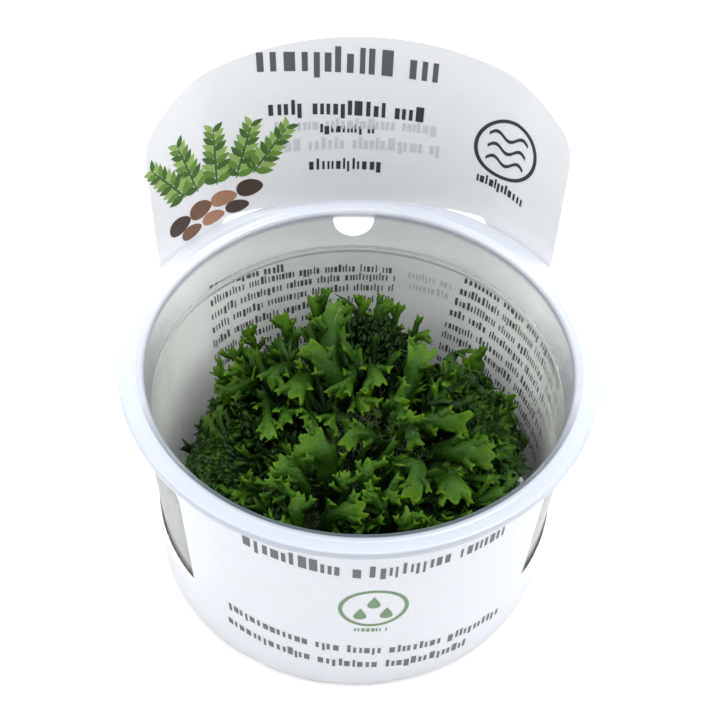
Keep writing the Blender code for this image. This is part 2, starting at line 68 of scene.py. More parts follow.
# The plastic itself: its tint, gloss and scuffs, and what it takes from the light that passes through.
PLASTIC_TINT = (0.965, 0.98, 1.0)
PLASTIC_IOR = 1.49
SCUFF_SIZE = 9.0 * MM
SCUFF_ROUGHNESS = (0.03, 0.16)
SHADOW_TINT = (0.93, 0.95, 0.96)
# How milky it looks: in the wall seen straight on, and edge on, where the milk is a painted reflection; in
# the flange; and at the ledge, where it carries a painted highlight.
MILK_ROUGHNESS = 0.28
WALL_HAZE = 0.06
SIDE_REFLECTION_HAZE = 0.78
GRAZING = (0.5, 0.92)
RIM_HAZE = 0.78
RIM_HAZE_HEIGHTS = (MOUTH_HEIGHT - 1.4 * MM, MOUTH_HEIGHT)
LEDGE_HAZE = 0.85
LEDGE_MIDDLE = LEDGE_HEIGHT - 0.4 * MM
LEDGE_REACH = (0.5 * MM, 1.5 * MM)
# The milk's tone in the flange, greyer in front with painted shade, and in the dark line round the mouth's
# edge, which is painted shade.
PLASTIC_MILK = (0.57, 0.60, 0.665)
FRONT_RIM_SHADE = (0.42, 0.45, 0.51)
FLANGE_DEPTHS = (-46.0 * MM, 30.0 * MM)
EDGE_SHADE = (0.24, 0.26, 0.29)
EDGE_BAND = (MOUTH_RADIUS + 0.05 * MM, MOUTH_RADIUS + 0.25 * MM)
# Its tone at the front of the collar, dark with painted shade; at the ledge, near white with a painted
# highlight; and in the wall, whose milk seen edge on is a painted reflection, darker in front with painted
# shade.
MOUTH_SHADE = (0.06, 0.085, 0.095)
MOUTH_BAND = (MOUTH_RADIUS + 1.3 * MM, MOUTH_RADIUS + 1.9 * MM)
FRONT_DEPTHS = (-32.0 * MM, -12.0 * MM)
LEDGE_HIGHLIGHT = (0.93, 0.94, 0.92)
WALL_MILK_AND_REFLECTION = (0.52, 0.53, 0.48)
FRONT_WALL_SHADE = (0.11, 0.115, 0.10)
FRONT_WALL_DEPTHS = (-9.0 * MM, 1.0 * MM)
COLLAR_START = (LEDGE_HEIGHT - 0.5 * MM, LEDGE_HEIGHT + 0.5 * MM)


def start_material(name):
    """A new material, with its nodes, its links and its Principled shader."""
    made = bpy.data.materials.new(name)
    made.use_nodes = True
    nodes = made.node_tree.nodes
    return made, nodes, made.node_tree.links, nodes["Principled BSDF"]


def add_noise(nodes, links, size, detail=3.0, roughness=0.5):
    """A noise in Object coordinates whose lumps measure about the given size."""
    place = nodes.new("ShaderNodeTexCoord")
    made = nodes.new("ShaderNodeTexNoise")
    made.inputs["Scale"].default_value = 1.0 / size
    made.inputs["Detail"].default_value = detail
    made.inputs["Roughness"].default_value = roughness
    links.new(place.outputs["Object"], made.inputs["Vector"])
    return made.outputs["Fac"]


def add_range(nodes, links, source, span, target):
    """Maps a value from one span to another, held at both ends."""
    made = nodes.new("ShaderNodeMapRange")
    made.inputs["From Min"].default_value = span[0]
    made.inputs["From Max"].default_value = span[1]
    made.inputs["To Min"].default_value = target[0]
    made.inputs["To Max"].default_value = target[1]
    links.new(source, made.inputs["Value"])
    return made.outputs["Result"]


def add_share(nodes, links, source, span):
    """How far a value has come through a span, from 0 to 1."""
    return add_range(nodes, links, source, span, (0.0, 1.0))


def add_bump(nodes, links, source, shader, strength, distance):
    """Turns a value into fine relief on a shader."""
    made = nodes.new("ShaderNodeBump")
    made.inputs["Strength"].default_value = strength
    made.inputs["Distance"].default_value = distance
    links.new(source, made.inputs["Height"])
    links.new(made.outputs["Normal"], shader.inputs["Normal"])


def add_sum(nodes, links, sum_kind, *terms):
    """Works out one sum on values, each of them a socket or a number."""
    made = nodes.new("ShaderNodeMath")
    made.operation = sum_kind
    for socket, term in zip(made.inputs, terms):
        if isinstance(term, float):
            socket.default_value = term
        else:
            links.new(term, socket)
    return made.outputs["Value"]


def add_tint(nodes, links, first, second, share):
    """Blends two colours, each of them a socket or a fixed colour, by a share."""
    made = nodes.new("ShaderNodeMix")
    made.data_type = "RGBA"
    for letter, colour in (("A", first), ("B", second)):
        if isinstance(colour, tuple):
            made.inputs[letter].default_value = (*colour, 1.0)
        else:
            links.new(colour, made.inputs[letter])
    links.new(share, made.inputs["Factor"])
    return made.outputs["Result"]


def add_mixed(nodes, links, first, second, share):
    """Mixes two shaders by a share."""
    made = nodes.new("ShaderNodeMixShader")
    for socket, source in zip(made.inputs, (share, first, second)):
        links.new(source, socket)
    return made.outputs["Shader"]


def add_place(nodes, links):
    """The three parts of a point's place on the object: X, Y and Z, in metres."""
    place = nodes.new("ShaderNodeTexCoord")
    split = nodes.new("ShaderNodeSeparateXYZ")
    links.new(place.outputs["Object"], split.inputs["Vector"])
    return split.outputs


def milk_and_shade_tone(nodes, links, place, near_ledge):
    """The milk's colour by its place on the tub, with painted shade at the front and the mouth's edge, and
    a painted highlight at the ledge.
    """
    width, depth, height = place
    square = add_sum(nodes, links, "POWER", width, 2.0)
    square = add_sum(nodes, links, "ADD", square, add_sum(nodes, links, "POWER", depth, 2.0))
    radius = add_sum(nodes, links, "SQRT", square)
    # Painted shade greys the flange's front and darkens the mouth's edge, the collar's front and the front
    # wall; a painted highlight whitens the ledge.
    back_share = add_share(nodes, links, depth, FLANGE_DEPTHS)
    flange = add_tint(nodes, links, FRONT_RIM_SHADE, PLASTIC_MILK, back_share)
    flange = add_tint(nodes, links, EDGE_SHADE, flange, add_share(nodes, links, radius, EDGE_BAND))
    past_mouth = add_share(nodes, links, radius, MOUTH_BAND)
    past_front = add_share(nodes, links, depth, FRONT_DEPTHS)
    off_front = add_sum(nodes, links, "MAXIMUM", past_mouth, past_front)
    upper = add_tint(nodes, links, MOUTH_SHADE, flange, off_front)
    behind = add_share(nodes, links, depth, FRONT_WALL_DEPTHS)
    wall = add_tint(nodes, links, FRONT_WALL_SHADE, WALL_MILK_AND_REFLECTION, behind)
    tone = add_tint(nodes, links, wall, upper, add_share(nodes, links, height, COLLAR_START))
    return add_tint(nodes, links, tone, LEDGE_HIGHLIGHT, near_ledge)


def milk_and_reflection_share(nodes, links, height, near_ledge):
    """How much of the milk shows: most in the flange, at the ledge and in the wall seen edge on, where it
    is a painted reflection.
    """
    edge_on = nodes.new("ShaderNodeLayerWeight")
    wall = add_range(nodes, links, edge_on.outputs["Facing"], GRAZING, (WALL_HAZE, SIDE_REFLECTION_HAZE))
    rim = add_range(nodes, links, height, RIM_HAZE_HEIGHTS, (0.0, RIM_HAZE))
    ledge = add_sum(nodes, links, "MULTIPLY", near_ledge, LEDGE_HAZE)
    return add_sum(nodes, links, "MAXIMUM", add_sum(nodes, links, "MAXIMUM", wall, rim), ledge)


def clear_plastic():
    """Clear moulded plastic: see-through in the wall, milky in the flange, with faint scuffs, and painted
    shade, highlight and reflection in its milk.
    """
    made, nodes, links, glass = start_material("clear_plastic")
    glass.inputs["Base Color"].default_value = (*PLASTIC_TINT, 1.0)
    glass.inputs["Transmission Weight"].default_value = 1.0
    glass.inputs["IOR"].default_value = PLASTIC_IOR
    scuffs = add_noise(nodes, links, SCUFF_SIZE, 6.0, 0.62)
    roughness = add_range(nodes, links, scuffs, (0.45, 0.75), SCUFF_ROUGHNESS)
    links.new(roughness, glass.inputs["Roughness"])
    place = add_place(nodes, links)
    off_ledge = add_sum(nodes, links, "SUBTRACT", place["Z"], LEDGE_MIDDLE)
    off_ledge = add_sum(nodes, links, "ABSOLUTE", off_ledge)
    near_ledge = add_range(nodes, links, off_ledge, LEDGE_REACH, (1.0, 0.0))
    milk = nodes.new("ShaderNodeBsdfPrincipled")
    milk.inputs["Roughness"].default_value = MILK_ROUGHNESS
    links.new(milk_and_shade_tone(nodes, links, place, near_ledge), milk.inputs["Base Color"])
    haze = milk_and_reflection_share(nodes, links, place["Z"], near_ledge)
    plastic = add_mixed(nodes, links, glass.outputs["BSDF"], milk.outputs["BSDF"], haze)
    for_lamps = nodes.new("ShaderNodeBsdfTransparent")
    for_lamps.inputs["Color"].default_value = (*SHADOW_TINT, 1.0)
    rays = nodes.new("ShaderNodeLightPath")
    is_shadow = rays.outputs["Is Shadow Ray"]
    shown = add_mixed(nodes, links, plastic, for_lamps.outputs["BSDF"], is_shadow)
    links.new(shown, nodes["Material Output"].inputs["Surface"])
    return made


def close_mesh(name, shape):
    """Turns a finished bmesh into a mesh."""
    mesh = bpy.data.meshes.new(name)
    shape.to_mesh(mesh)
    shape.free()
    return mesh


def add_object(name, data):
    """Puts a mesh, a lamp or a camera in the scene."""
    made = bpy.data.objects.new(name, data)
    bpy.context.scene.collection.objects.link(made)
    return made


def add_piece(name, mesh, finishes, replaced=()):
    """Adds a mesh as a piece that rides on the object's one body."""
    for finish in finishes:
        mesh.materials.append(finish)
    piece = add_object(name, mesh)
    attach(piece, "root")
    if replaced:
        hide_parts(*replaced)
    return piece


def tub_section():
    """Corners of the tub's section as radius, height and how far each is eased."""
    inner_top = WALL_TOP_RADIUS - WALL
    inner_base = BASE_RADIUS - WALL
    collar = MOUTH_RADIUS + WALL
    under = RIM_HEIGHT - RIM_THICKNESS
    return (
        (0.0, 0.0, 0.0),
        (BASE_RADIUS - 0.1 * MM, 0.0, 1.1 * MM),
        (WALL_TOP_RADIUS, WALL_TOP_HEIGHT, 0.6 * MM),
        (LEDGE_RADIUS + WALL + 0.15 * MM, LEDGE_HEIGHT + 0.6 * MM, 0.5 * MM),
        (collar, MOUTH_HEIGHT - 1.2 * MM, 0.5 * MM),
        (collar + 0.8 * MM, under, 0.4 * MM),
        (RIM_RADIUS - 0.8 * MM, under, 0.15 * MM),
        (RIM_RADIUS - 0.7 * MM, under - LIP_DROP, 0.2 * MM),
        (RIM_RADIUS, under - LIP_DROP, 0.2 * MM),
        (RIM_RADIUS, RIM_HEIGHT, 0.5 * MM),
        (RING_RADIUS + 0.5 * MM, RIM_HEIGHT, 0.2 * MM),
        (RING_RADIUS, RIM_HEIGHT - RING_DEPTH, 0.2 * MM),
        (RING_RADIUS - 0.5 * MM, RIM_HEIGHT, 0.2 * MM),
        (MOUTH_RADIUS + 1.7 * MM, RIM_HEIGHT, 0.15 * MM),
        (MOUTH_RADIUS + 1.3 * MM, RIM_HEIGHT - 0.35 * MM, 0.15 * MM),
        (MOUTH_RADIUS + 0.5 * MM, RIM_HEIGHT - 0.45 * MM, 0.4 * MM),
        (MOUTH_RADIUS, MOUTH_HEIGHT, 0.6 * MM),
        (LEDGE_RADIUS, LEDGE_HEIGHT, 0.3 * MM),
        (LEDGE_RADIUS + 0.35 * MM, LEDGE_HEIGHT - 0.9 * MM, 0.25 * MM),
        (inner_top, WALL_TOP_HEIGHT - 0.3 * MM, 0.4 * MM),
        (inner_base, FLOOR, 1.3 * MM),
        (0.0, FLOOR, 0.0),
    )


def eased(corners):
    """Replaces each corner of a section by a short curve."""
    line = []
    for number, (radius, height, ease) in enumerate(corners):
        here = Vector((radius, 0.0, height))
        if ease == 0.0:
            line.append(here)
            continue
        before = Vector((corners[number - 1][0], 0.0, corners[number - 1][1]))
        after = Vector((corners[number + 1][0], 0.0, corners[number + 1][1]))
        start = here + (before - here).normalized() * ease
        end = here + (after - here).normalized() * ease
        for step in range(CORNER_STEPS + 1):
            share = step / CORNER_STEPS
            line.append(start.lerp(here, share).lerp(here.lerp(end, share), share))
    return line


def build_tub():
    """Turns the tub from its section."""
    shape = bmesh.new()
    points = [shape.verts.new(point) for point in eased(tub_section())]
    edges = [shape.edges.new(pair) for pair in zip(points, points[1:])]
    bmesh.ops.spin(
        shape,
        geom=points + edges,
        axis=(0.0, 0.0, 1.0),
        cent=(0.0, 0.0, 0.0),
        angle=2.0 * math.pi,
        steps=TUB_STEPS,
        use_merge=True,
    )
    bmesh.ops.remove_doubles(shape, verts=shape.verts, dist=WELD)
    bmesh.ops.recalc_face_normals(shape, faces=shape.faces)
    mesh = close_mesh("clear_tub", shape)
    mesh.shade_smooth()
    mesh.set_sharp_from_angle(angle=math.radians(TUB_SHARP_ANGLE))
    add_piece("clear_tub", mesh, (clear_plastic(),), ("tub",))


build_tub()


# The sleeve is one sheet of white coated card wrapped round the tub and glued at a lap on the left. Its
# tall header rises behind the rim, which passes through a slit with a thumb notch below it. The tub
# shows through a window on each side.
CARD = 0.45 * MM
SLEEVE_BOTTOM = 1.2 * MM
SLEEVE_BOTTOM_RADIUS = 44.2 * MM
SLEEVE_FRONT_RADIUS = 47.6 * MM
SLEEVE_HUG_RADIUS = 51.4 * MM
SLEEVE_TOP = 57.2 * MM
TOP_CURVE_HEIGHT = 59.75 * MM
CHORD_RADIUS = 74.7 * MM
CHORD_OFFSET = 27.0 * MM
CHORD_END_ANGLE = 60.0
CHORD_BLEND = 0.6 * MM
FRONT_ANGLES = (54.0, 100.0)
HEADER_HALF_WIDTH = 51.0 * MM
HEADER_TOP = 103.6 * MM
HEADER_TOP_RADIUS = 97.0 * MM
HEADER_CORNER_RADIUS = 7.0 * MM
WINDOW_ANGLES = (92.0, 128.5)
WINDOW_HEIGHTS = (16.5 * MM, 51.0 * MM)
WINDOW_CORNER = 4.0 * MM
WINDOW_FOOT_SHARE = 0.35
SLIT_ANGLE = 36.3
SLIT_HEIGHTS = (56.6 * MM, 60.4 * MM)
NOTCH_RADIUS = 4.8 * MM
NOTCH_HEIGHT = 54.6 * MM
NOTCH_OVERLAP = 1.0 * MM
HEADER_COLUMNS = 168
HEADER_ROWS = 9
BAND_COLUMNS = 120
ARC_STEPS = 90
LAP_ANGLES = (-66.0, -49.2)
LAP_THICKNESS = 0.16 * MM
LAP_MARGIN = 1.0 * MM
CARD_SHARP_ANGLE = 30.0
CARD_OUTSIDE = (0.63, 0.645, 0.685)
CARD_HEADER = (0.77, 0.782, 0.81)
# Inside the tub, low on the card, a lighter and warmer tone: painted fill light for the shade there.
CARD_INSIDE_FILL_LIGHT = (0.84, 0.83, 0.785)
FILL_LIGHT_HEIGHTS = (54.0 * MM, 60.0 * MM)
CARD_CUT = (0.88, 0.87, 0.84)
CARD_CLOUD_SHARE = 0.98
CARD_CLOUD_SIZE = 3.5 * MM
CARD_UNEVENNESS = 0.07
CARD_RELIEF = 0.05 * MM


def smooth_step(low, high, value):
    """Rises from 0 at low to 1 at high."""
    share = min(max((value - low) / (high - low), 0.0), 1.0)
    return share * share * (3.0 - 2.0 * share)


def top_curve_radius(angle):
    """The sleeve's distance from the axis at its top curve. The angle is from the back, +Y."""
    turn = abs(angle)
    held = min(turn, math.radians(CHORD_END_ANGLE))
    chord = math.sqrt(CHORD_RADIUS**2 - (CHORD_OFFSET * math.sin(held)) ** 2)
    chord -= CHORD_OFFSET * math.cos(held)
    near = max(CHORD_BLEND - abs(chord - SLEEVE_HUG_RADIUS), 0.0) / CHORD_BLEND
    back = min(chord, SLEEVE_HUG_RADIUS) - near * near * CHORD_BLEND / 4.0
    front_share = smooth_step(*(math.radians(limit) for limit in FRONT_ANGLES), turn)
    return back * (1.0 - front_share) + SLEEVE_FRONT_RADIUS * front_share


def sleeve_point(angle, height, offset=0.0):
    """A point on the middle of the card, or off it by an offset outwards."""
    rise = (height - SLEEVE_BOTTOM) / (TOP_CURVE_HEIGHT - SLEEVE_BOTTOM)
    spread = top_curve_radius(angle) - SLEEVE_BOTTOM_RADIUS
    radius = SLEEVE_BOTTOM_RADIUS + spread * rise + offset
    return Vector((radius * math.sin(angle), radius * math.cos(angle), height))


def angle_at_width(width, height):
    """The angle whose arc from the back is a given width of card at a given height."""
    limit = math.radians(90.0)
    step = limit / ARC_STEPS
    run = 0.0
    here = sleeve_point(0.0, height)
    for number in range(1, ARC_STEPS + 1):
        there = sleeve_point(number * step, height)
        stretch = (there - here).length
        if run + stretch >= abs(width):
            return math.copysign((number - 1 + (abs(width) - run) / stretch) * step, width)
        run += stretch
        here = there
    return math.copysign(limit, width)


def header_top(width):
    """The header's upper edge: a broad arc with a rounded corner at each side."""
    corner_across = HEADER_HALF_WIDTH - HEADER_CORNER_RADIUS
    reach = HEADER_TOP_RADIUS - HEADER_CORNER_RADIUS
    centre = HEADER_TOP - HEADER_TOP_RADIUS
    corner_centre = centre + math.sqrt(reach**2 - corner_across**2)
    tangent_across = corner_across * HEADER_TOP_RADIUS / reach
    across = min(abs(width), HEADER_HALF_WIDTH)
    if across <= tangent_across:
        return centre + math.sqrt(HEADER_TOP_RADIUS**2 - across**2)
    drop = HEADER_CORNER_RADIUS**2 - (across - corner_across) ** 2
    return corner_centre + math.sqrt(max(drop, 0.0))


def column_angles():
    """The width and the angle of the sheet's columns, which are closer together over the header."""
    widths = []
    for number in range(HEADER_COLUMNS + 1):
        share = -1.0 + 2.0 * number / HEADER_COLUMNS
        widths.append(HEADER_HALF_WIDTH * math.sin(share * math.pi / 2.0))
    half_angle = angle_at_width(HEADER_HALF_WIDTH, SLEEVE_TOP)
    angles = [angle_at_width(width, SLEEVE_TOP) for width in widths]
    front_turn = 2.0 * math.pi - 2.0 * half_angle
    for number in range(1, BAND_COLUMNS + 1):
        angles.append(half_angle + front_turn * number / BAND_COLUMNS)
    turned = [(angle + math.pi) % (2.0 * math.pi) - math.pi for angle in angles]
    return widths, turned


def sleeve_sheet():
    """The card as a sheet: a grid bent into the band, with the header extruded up from its back."""
    widths, angles = column_angles()
    columns = len(angles) - 1
    shape = bmesh.new()
    bmesh.ops.create_grid(shape, x_segments=columns, y_segments=1, size=0.5)
    column_of = shape.verts.layers.int.new("column")
    for vert in shape.verts:
        column = round((vert.co.x + 0.5) * columns)
        vert[column_of] = column
        vert.co = sleeve_point(angles[column], SLEEVE_TOP if vert.co.y > 0.0 else SLEEVE_BOTTOM)
    top_edges = []
    for edge in shape.edges:
        high = all(vert.co.z > SLEEVE_TOP - 0.1 * MM for vert in edge.verts)
        if high and all(vert[column_of] <= HEADER_COLUMNS for vert in edge.verts):
            top_edges.append(edge)
    for row in range(1, HEADER_ROWS + 1):
        raised = bmesh.ops.extrude_edge_only(shape, edges=top_edges)["geom"]
        top_edges = [part for part in raised if isinstance(part, bmesh.types.BMEdge)]
        for vert in raised:
            if isinstance(vert, bmesh.types.BMVert):
                width = widths[vert[column_of]]
                height = SLEEVE_TOP + (header_top(width) - SLEEVE_TOP) * row / HEADER_ROWS
                vert.co = sleeve_point(angle_at_width(width, height), height)
    shape.verts.layers.int.remove(column_of)
    bmesh.ops.remove_doubles(shape, verts=shape.verts, dist=WELD)
    bmesh.ops.recalc_face_normals(shape, faces=shape.faces)
    return shape


def opening_cutter(columns):
    """A cutter through the card: its columns hold an angle, a lowest and a highest point."""
    reach = 5.0 * MM
    last = len(columns) - 1
    shape = bmesh.new()
    bmesh.ops.create_grid(shape, x_segments=last, y_segments=1, size=0.5)
    for vert in shape.verts:
        angle, low, high = columns[round((vert.co.x + 0.5) * last)]
        vert.co = sleeve_point(angle, high if vert.co.y > 0.0 else low, -reach / 2.0)
    for part in bmesh.ops.extrude_face_region(shape, geom=shape.faces[:])["geom"]:
        if isinstance(part, bmesh.types.BMVert):
            part.co += Vector((part.co.x, part.co.y, 0.0)).normalized() * reach
    bmesh.ops.recalc_face_normals(shape, faces=shape.faces)
    return add_object("cutter", close_mesh("cutter", shape))


def window_columns(side):
    """A window's outline: a tall opening with rounded corners, on one side of the tub."""
    first, last = (math.radians(angle) for angle in WINDOW_ANGLES)
    low, high = WINDOW_HEIGHTS
    corner_turn = WINDOW_CORNER / SLEEVE_BOTTOM_RADIUS
    corner = [corner_turn * (1.0 - math.cos(math.radians(step * 7.5))) for step in range(1, 12)]
    turns = [first + turn for turn in corner]
    turns += [first + (last - first) * step / 16.0 for step in range(3, 14)]
    turns += [last - turn for turn in reversed(corner)]
    columns = []
    for turn in turns:
        from_end = min(turn - first, last - turn, corner_turn)
        inset = WINDOW_CORNER * (1.0 - math.sqrt(1.0 - (1.0 - from_end / corner_turn) ** 2))
        foot = inset if turn - first < last - turn else inset * WINDOW_FOOT_SHARE
        columns.append((side * turn, low + foot, high - inset))
    return columns


def slit_columns():
    """The slit that lets the rim through the back of the card, round at both ends."""
    low, high = SLIT_HEIGHTS
    middle = (low + high) / 2.0
    half = (high - low) / 2.0
    end = math.radians(SLIT_ANGLE)
    end_turn = half / SLEEVE_HUG_RADIUS
    columns = []
    for step in range(-30, 31):
        turn = end * math.sin(math.radians(step * 3.0))
        past = max(abs(turn) - (end - end_turn), 0.0) / end_turn
        half_height = half * math.sqrt(1.0 - min(past, 0.99) ** 2)
        columns.append((turn, middle - half_height, middle + half_height))
    return columns


def notch_columns():
    """The half-round thumb notch below the middle of the slit."""
    columns = []
    for step in range(-12, 13):
        across = NOTCH_RADIUS * math.sin(math.radians(step * 7.4))
        drop = math.sqrt(NOTCH_RADIUS**2 - across**2)
        angle = angle_at_width(across, NOTCH_HEIGHT)
        columns.append((angle, NOTCH_HEIGHT - drop, SLIT_HEIGHTS[0] + NOTCH_OVERLAP))
    return columns


def coated_card(name, colour, roughness, fibre, fill_light_colour=None):
    """Printed card stock: white, softly shining, cloudy with fibre, and lighter and warmer where it is low,
    as painted fill light.
    """
    made, nodes, links, shader = start_material(name)
    cloud = add_noise(nodes, links, CARD_CLOUD_SIZE, 5.0, 0.6)
    clouded = tuple(part * CARD_CLOUD_SHARE for part in colour)
    tone = add_tint(nodes, links, clouded, colour, add_share(nodes, links, cloud, (0.35, 0.6)))
    # Low on the inside, painted fill light: the card turns lighter and warmer in the tub's shade.
    if fill_light_colour:
        rise = add_share(nodes, links, add_place(nodes, links)["Z"], FILL_LIGHT_HEIGHTS)
        tone = add_tint(nodes, links, fill_light_colour, tone, rise)
    links.new(tone, shader.inputs["Base Color"])
    grain = add_noise(nodes, links, fibre, 4.0, 0.7)
    span = (roughness - CARD_UNEVENNESS, roughness + CARD_UNEVENNESS)
    links.new(add_range(nodes, links, grain, (0.3, 0.7), span), shader.inputs["Roughness"])
    add_bump(nodes, links, grain, shader, 0.12, CARD_RELIEF)
    return made


def build_sleeve():
    """Cuts the sheet, gives it its thickness, and sorts its faces into outside, inside and cut edge."""
    finishes = (
        coated_card("card_outside", CARD_OUTSIDE, 0.38, 0.35 * MM),
        coated_card("card_inside", CARD_HEADER, 0.6, 0.3 * MM, CARD_INSIDE_FILL_LIGHT),
        coated_card("card_cut_edge", CARD_CUT, 0.85, 0.12 * MM),
    )
    sheet = close_mesh("sleeve_card", sleeve_sheet())
    piece = add_piece("sleeve_card", sheet, finishes, ("card_sleeve",))
    thick = piece.modifiers.new("Card thickness", "SOLIDIFY")
    thick.thickness = CARD
    thick.offset = 0.0
    thick.use_even_offset = True
    openings = (window_columns(-1.0), window_columns(1.0), slit_columns(), notch_columns())
    cutters = [opening_cutter(columns) for columns in openings]
    for cutter in cutters:
        cut = piece.modifiers.new("Opening", "BOOLEAN")
        cut.operation = "DIFFERENCE"
        cut.object = cutter
    depsgraph = bpy.context.evaluated_depsgraph_get()
    shaped = bpy.data.meshes.new_from_object(piece.evaluated_get(depsgraph))
    piece.modifiers.clear()
    piece.data = shaped
    for cutter in cutters:
        bpy.data.objects.remove(cutter)
    for face in shaped.polygons:
        outwards = Vector((face.center.x, face.center.y, 0.0)).normalized().dot(face.normal)
        side = 0 if outwards > 0.0 else 1
        face.material_index = 2 if abs(outwards) < 0.5 else side
    shaped.shade_smooth()
    shaped.set_sharp_from_angle(angle=math.radians(CARD_SHARP_ANGLE))
    return finishes


def build_lap(finish):
    """The glued lap: a second layer of card on the inside, left of the back."""
    shape = bmesh.new()
    first, last = (math.radians(angle) for angle in LAP_ANGLES)
    bmesh.ops.create_grid(shape, x_segments=12, y_segments=8, size=0.5)
    inset = -CARD / 2.0 - LAP_THICKNESS / 2.0
    bottom = SLEEVE_BOTTOM + LAP_MARGIN
    top = SLEEVE_TOP - LAP_MARGIN
    for vert in shape.verts:
        angle = first + (last - first) * (vert.co.x + 0.5)
        height = bottom + (top - bottom) * (vert.co.y + 0.5)
        vert.co = sleeve_point(angle, height, inset)
    bmesh.ops.solidify(shape, geom=shape.faces, thickness=LAP_THICKNESS * 0.9)
    bmesh.ops.recalc_face_normals(shape, faces=shape.faces)
    add_piece("sleeve_lap", close_mesh("sleeve_lap", shape), (finish,))


card_finishes = build_sleeve()
build_lap(card_finishes[1])


# The printing is ink on both faces of the card. Words are rows of small plain bars of about the right
# length, and the pictures' places hold leafy sprays over pebbles, a ring of waves and a ring with drops.
INK_LIFT = 0.05 * MM
INK_THICKNESS = 0.02 * MM
INK_BLACK = (0.028, 0.030, 0.033)
INK_GREY = (0.082, 0.086, 0.092)
INK_GREEN = (0.110, 0.200, 0.095)
GHOST_GREY = (0.50, 0.53, 0.575)
SPRAY_GREENS = ((0.045, 0.110, 0.018), (0.105, 0.215, 0.035), (0.235, 0.360, 0.095))
PEBBLE_BROWNS = ((0.055, 0.032, 0.024), (0.150, 0.075, 0.045), (0.330, 0.165, 0.100))
THIN_INK = 1.5
INK_FIBRE = 0.25 * MM
INK_WELD = 0.001 * MM
# A word's bars: how many, then how wide, how tall and how far apart as shares of the letter height.
WORD_BARS = (4, 14)
BAR_WIDTHS = (0.14, 0.16, 0.18, 0.3)
BAR_HEIGHT = 0.74
BAR_GAP = 0.16
WORD_GAP = 0.42
TAIL_DEPTH = 0.24
# How many of the bars are risers, and how many have a tail.
RISER_SHARE = 0.24
TAIL_SHARE = 0.09
OUTSIDE = 1.0
INSIDE = -1.0
# A line of print: its face, its letter height in mm and how heavy its bars are. Then the angle and height
# at its start and at its end, in degrees from the back and in mm.
SMALL_LINES = (
    (INSIDE, 2.3, 1.0, (-44.2, 38.4, 12.0, 38.9)),
    (INSIDE, 2.3, 1.0, (-44.6, 34.3, 14.0, 36.6)),
    (INSIDE, 2.3, 1.0, (-45.1, 30.4, 12.9, 33.2)),
    (INSIDE, 2.3, 1.0, (-45.6, 26.2, 14.2, 29.4)),
    (INSIDE, 2.3, 1.0, (-46.0, 22.2, 12.0, 25.6)),
    (INSIDE, 2.3, 1.0, (-46.8, 18.7, 13.0, 21.8)),
    (INSIDE, 2.3, 1.0, (-46.9, 14.7, 12.5, 18.0)),
    (INSIDE, 2.3, 1.0, (32.9, 37.2, 86.0, 34.4)),
    (INSIDE, 2.3, 1.0, (31.9, 33.5, 88.0, 30.6)),
    (INSIDE, 2.3, 1.0, (30.9, 29.9, 84.0, 26.9)),
    (INSIDE, 2.3, 1.0, (30.0, 25.7, 88.5, 23.0)),
    (INSIDE, 2.3, 1.0, (29.5, 22.3, 86.0, 19.2)),
    (INSIDE, 2.3, 1.0, (29.2, 18.1, 83.0, 15.4)),
    (INSIDE, 2.3, 1.0, (29.0, 14.2, 87.0, 11.6)),
    (INSIDE, 2.4, 1.6, (-43.7, 42.4, -20.6, 40.8)),
    (INSIDE, 2.4, 1.6, (33.7, 40.9, 80.0, 38.6)),
    (INSIDE, 3.8, 1.5, (-22.3, 84.9, 18.8, 82.7)),
    (INSIDE, 2.3, 1.5, (-9.4, 79.4, 5.1, 79.0)),
    (INSIDE, 3.0, 1.1, (-12.4, 69.4, 7.5, 69.0)),
    (INSIDE, 2.4, 1.3, (32.0, 69.9, 45.4, 67.6)),
)
BACK_LINES = (
    (OUTSIDE, 2.8, 1.5, (21.0, 80.0, -21.0, 80.4)),
    (OUTSIDE, 3.2, 1.5, (22.5, 74.6, -23.5, 75.0)),
    (OUTSIDE, 2.3, 1.2, (31.0, 37.6, 17.0, 38.3)),
    (OUTSIDE, 2.3, 1.2, (30.5, 34.3, 17.5, 34.9)),
)
GREY_LINES = (
    (INSIDE, 6.4, 1.25, (-24.4, 96.2, 23.0, 93.0)),
    (OUTSIDE, 4.2, 1.3, (210.2, 49.6, 181.0, 46.3)),
    (OUTSIDE, 4.0, 0.9, (179.0, 46.6, 142.7, 48.2)),
    (OUTSIDE, 3.0, 1.3, (217.5, 19.2, 135.3, 11.0)),
    (OUTSIDE, 3.0, 1.3, (218.4, 12.4, 146.0, 6.2)),
    *BACK_LINES,
)
# The lines on the card's back, seen faintly through it from the inside. The two low ones come first.
GHOST_LINES = tuple(
    (INSIDE, size, weight, line[2:] + line[:2])
    for _, size, weight, line in BACK_LINES[2:] + BACK_LINES[:2]
)
# The sprays over pebbles: their middle, each spray's foot and lean, and each pebble's place and size.
SPRAYS_PLACE = (-37.0, 73.5)
SPRAYS = (
    (-8.0, -3.0, -34.0), (-4.5, -3.5, -14.0), (0.5, -4.0, 3.0), (5.0, -3.5, 19.0), (9.0, -3.0, 38.0),
)
SPRAY_LENGTH = 14.5
SPRAY_LEAVES = 9
LEAF_LENGTH = 4.6
LEAF_WIDTH = 2.0
LEAF_TAPER = 0.35
LEAF_LEAN = 62.0
LEAF_CLOSING = 22.0
STALK_SHARE = 0.3
PEBBLES = (
    (-11.0, -9.0, 6.6, 4.4), (-4.6, -8.2, 6.2, 4.6), (1.6, -7.8, 6.4, 4.0), (8.0, -6.6, 6.4, 4.6),
    (-8.0, -12.4, 6.0, 3.4), (-1.6, -11.8, 6.0, 3.4), (4.6, -10.9, 5.8, 3.4),
)
HEADER_RING = (38.2, 79.6)
HEADER_RING_RADIUS = 7.6
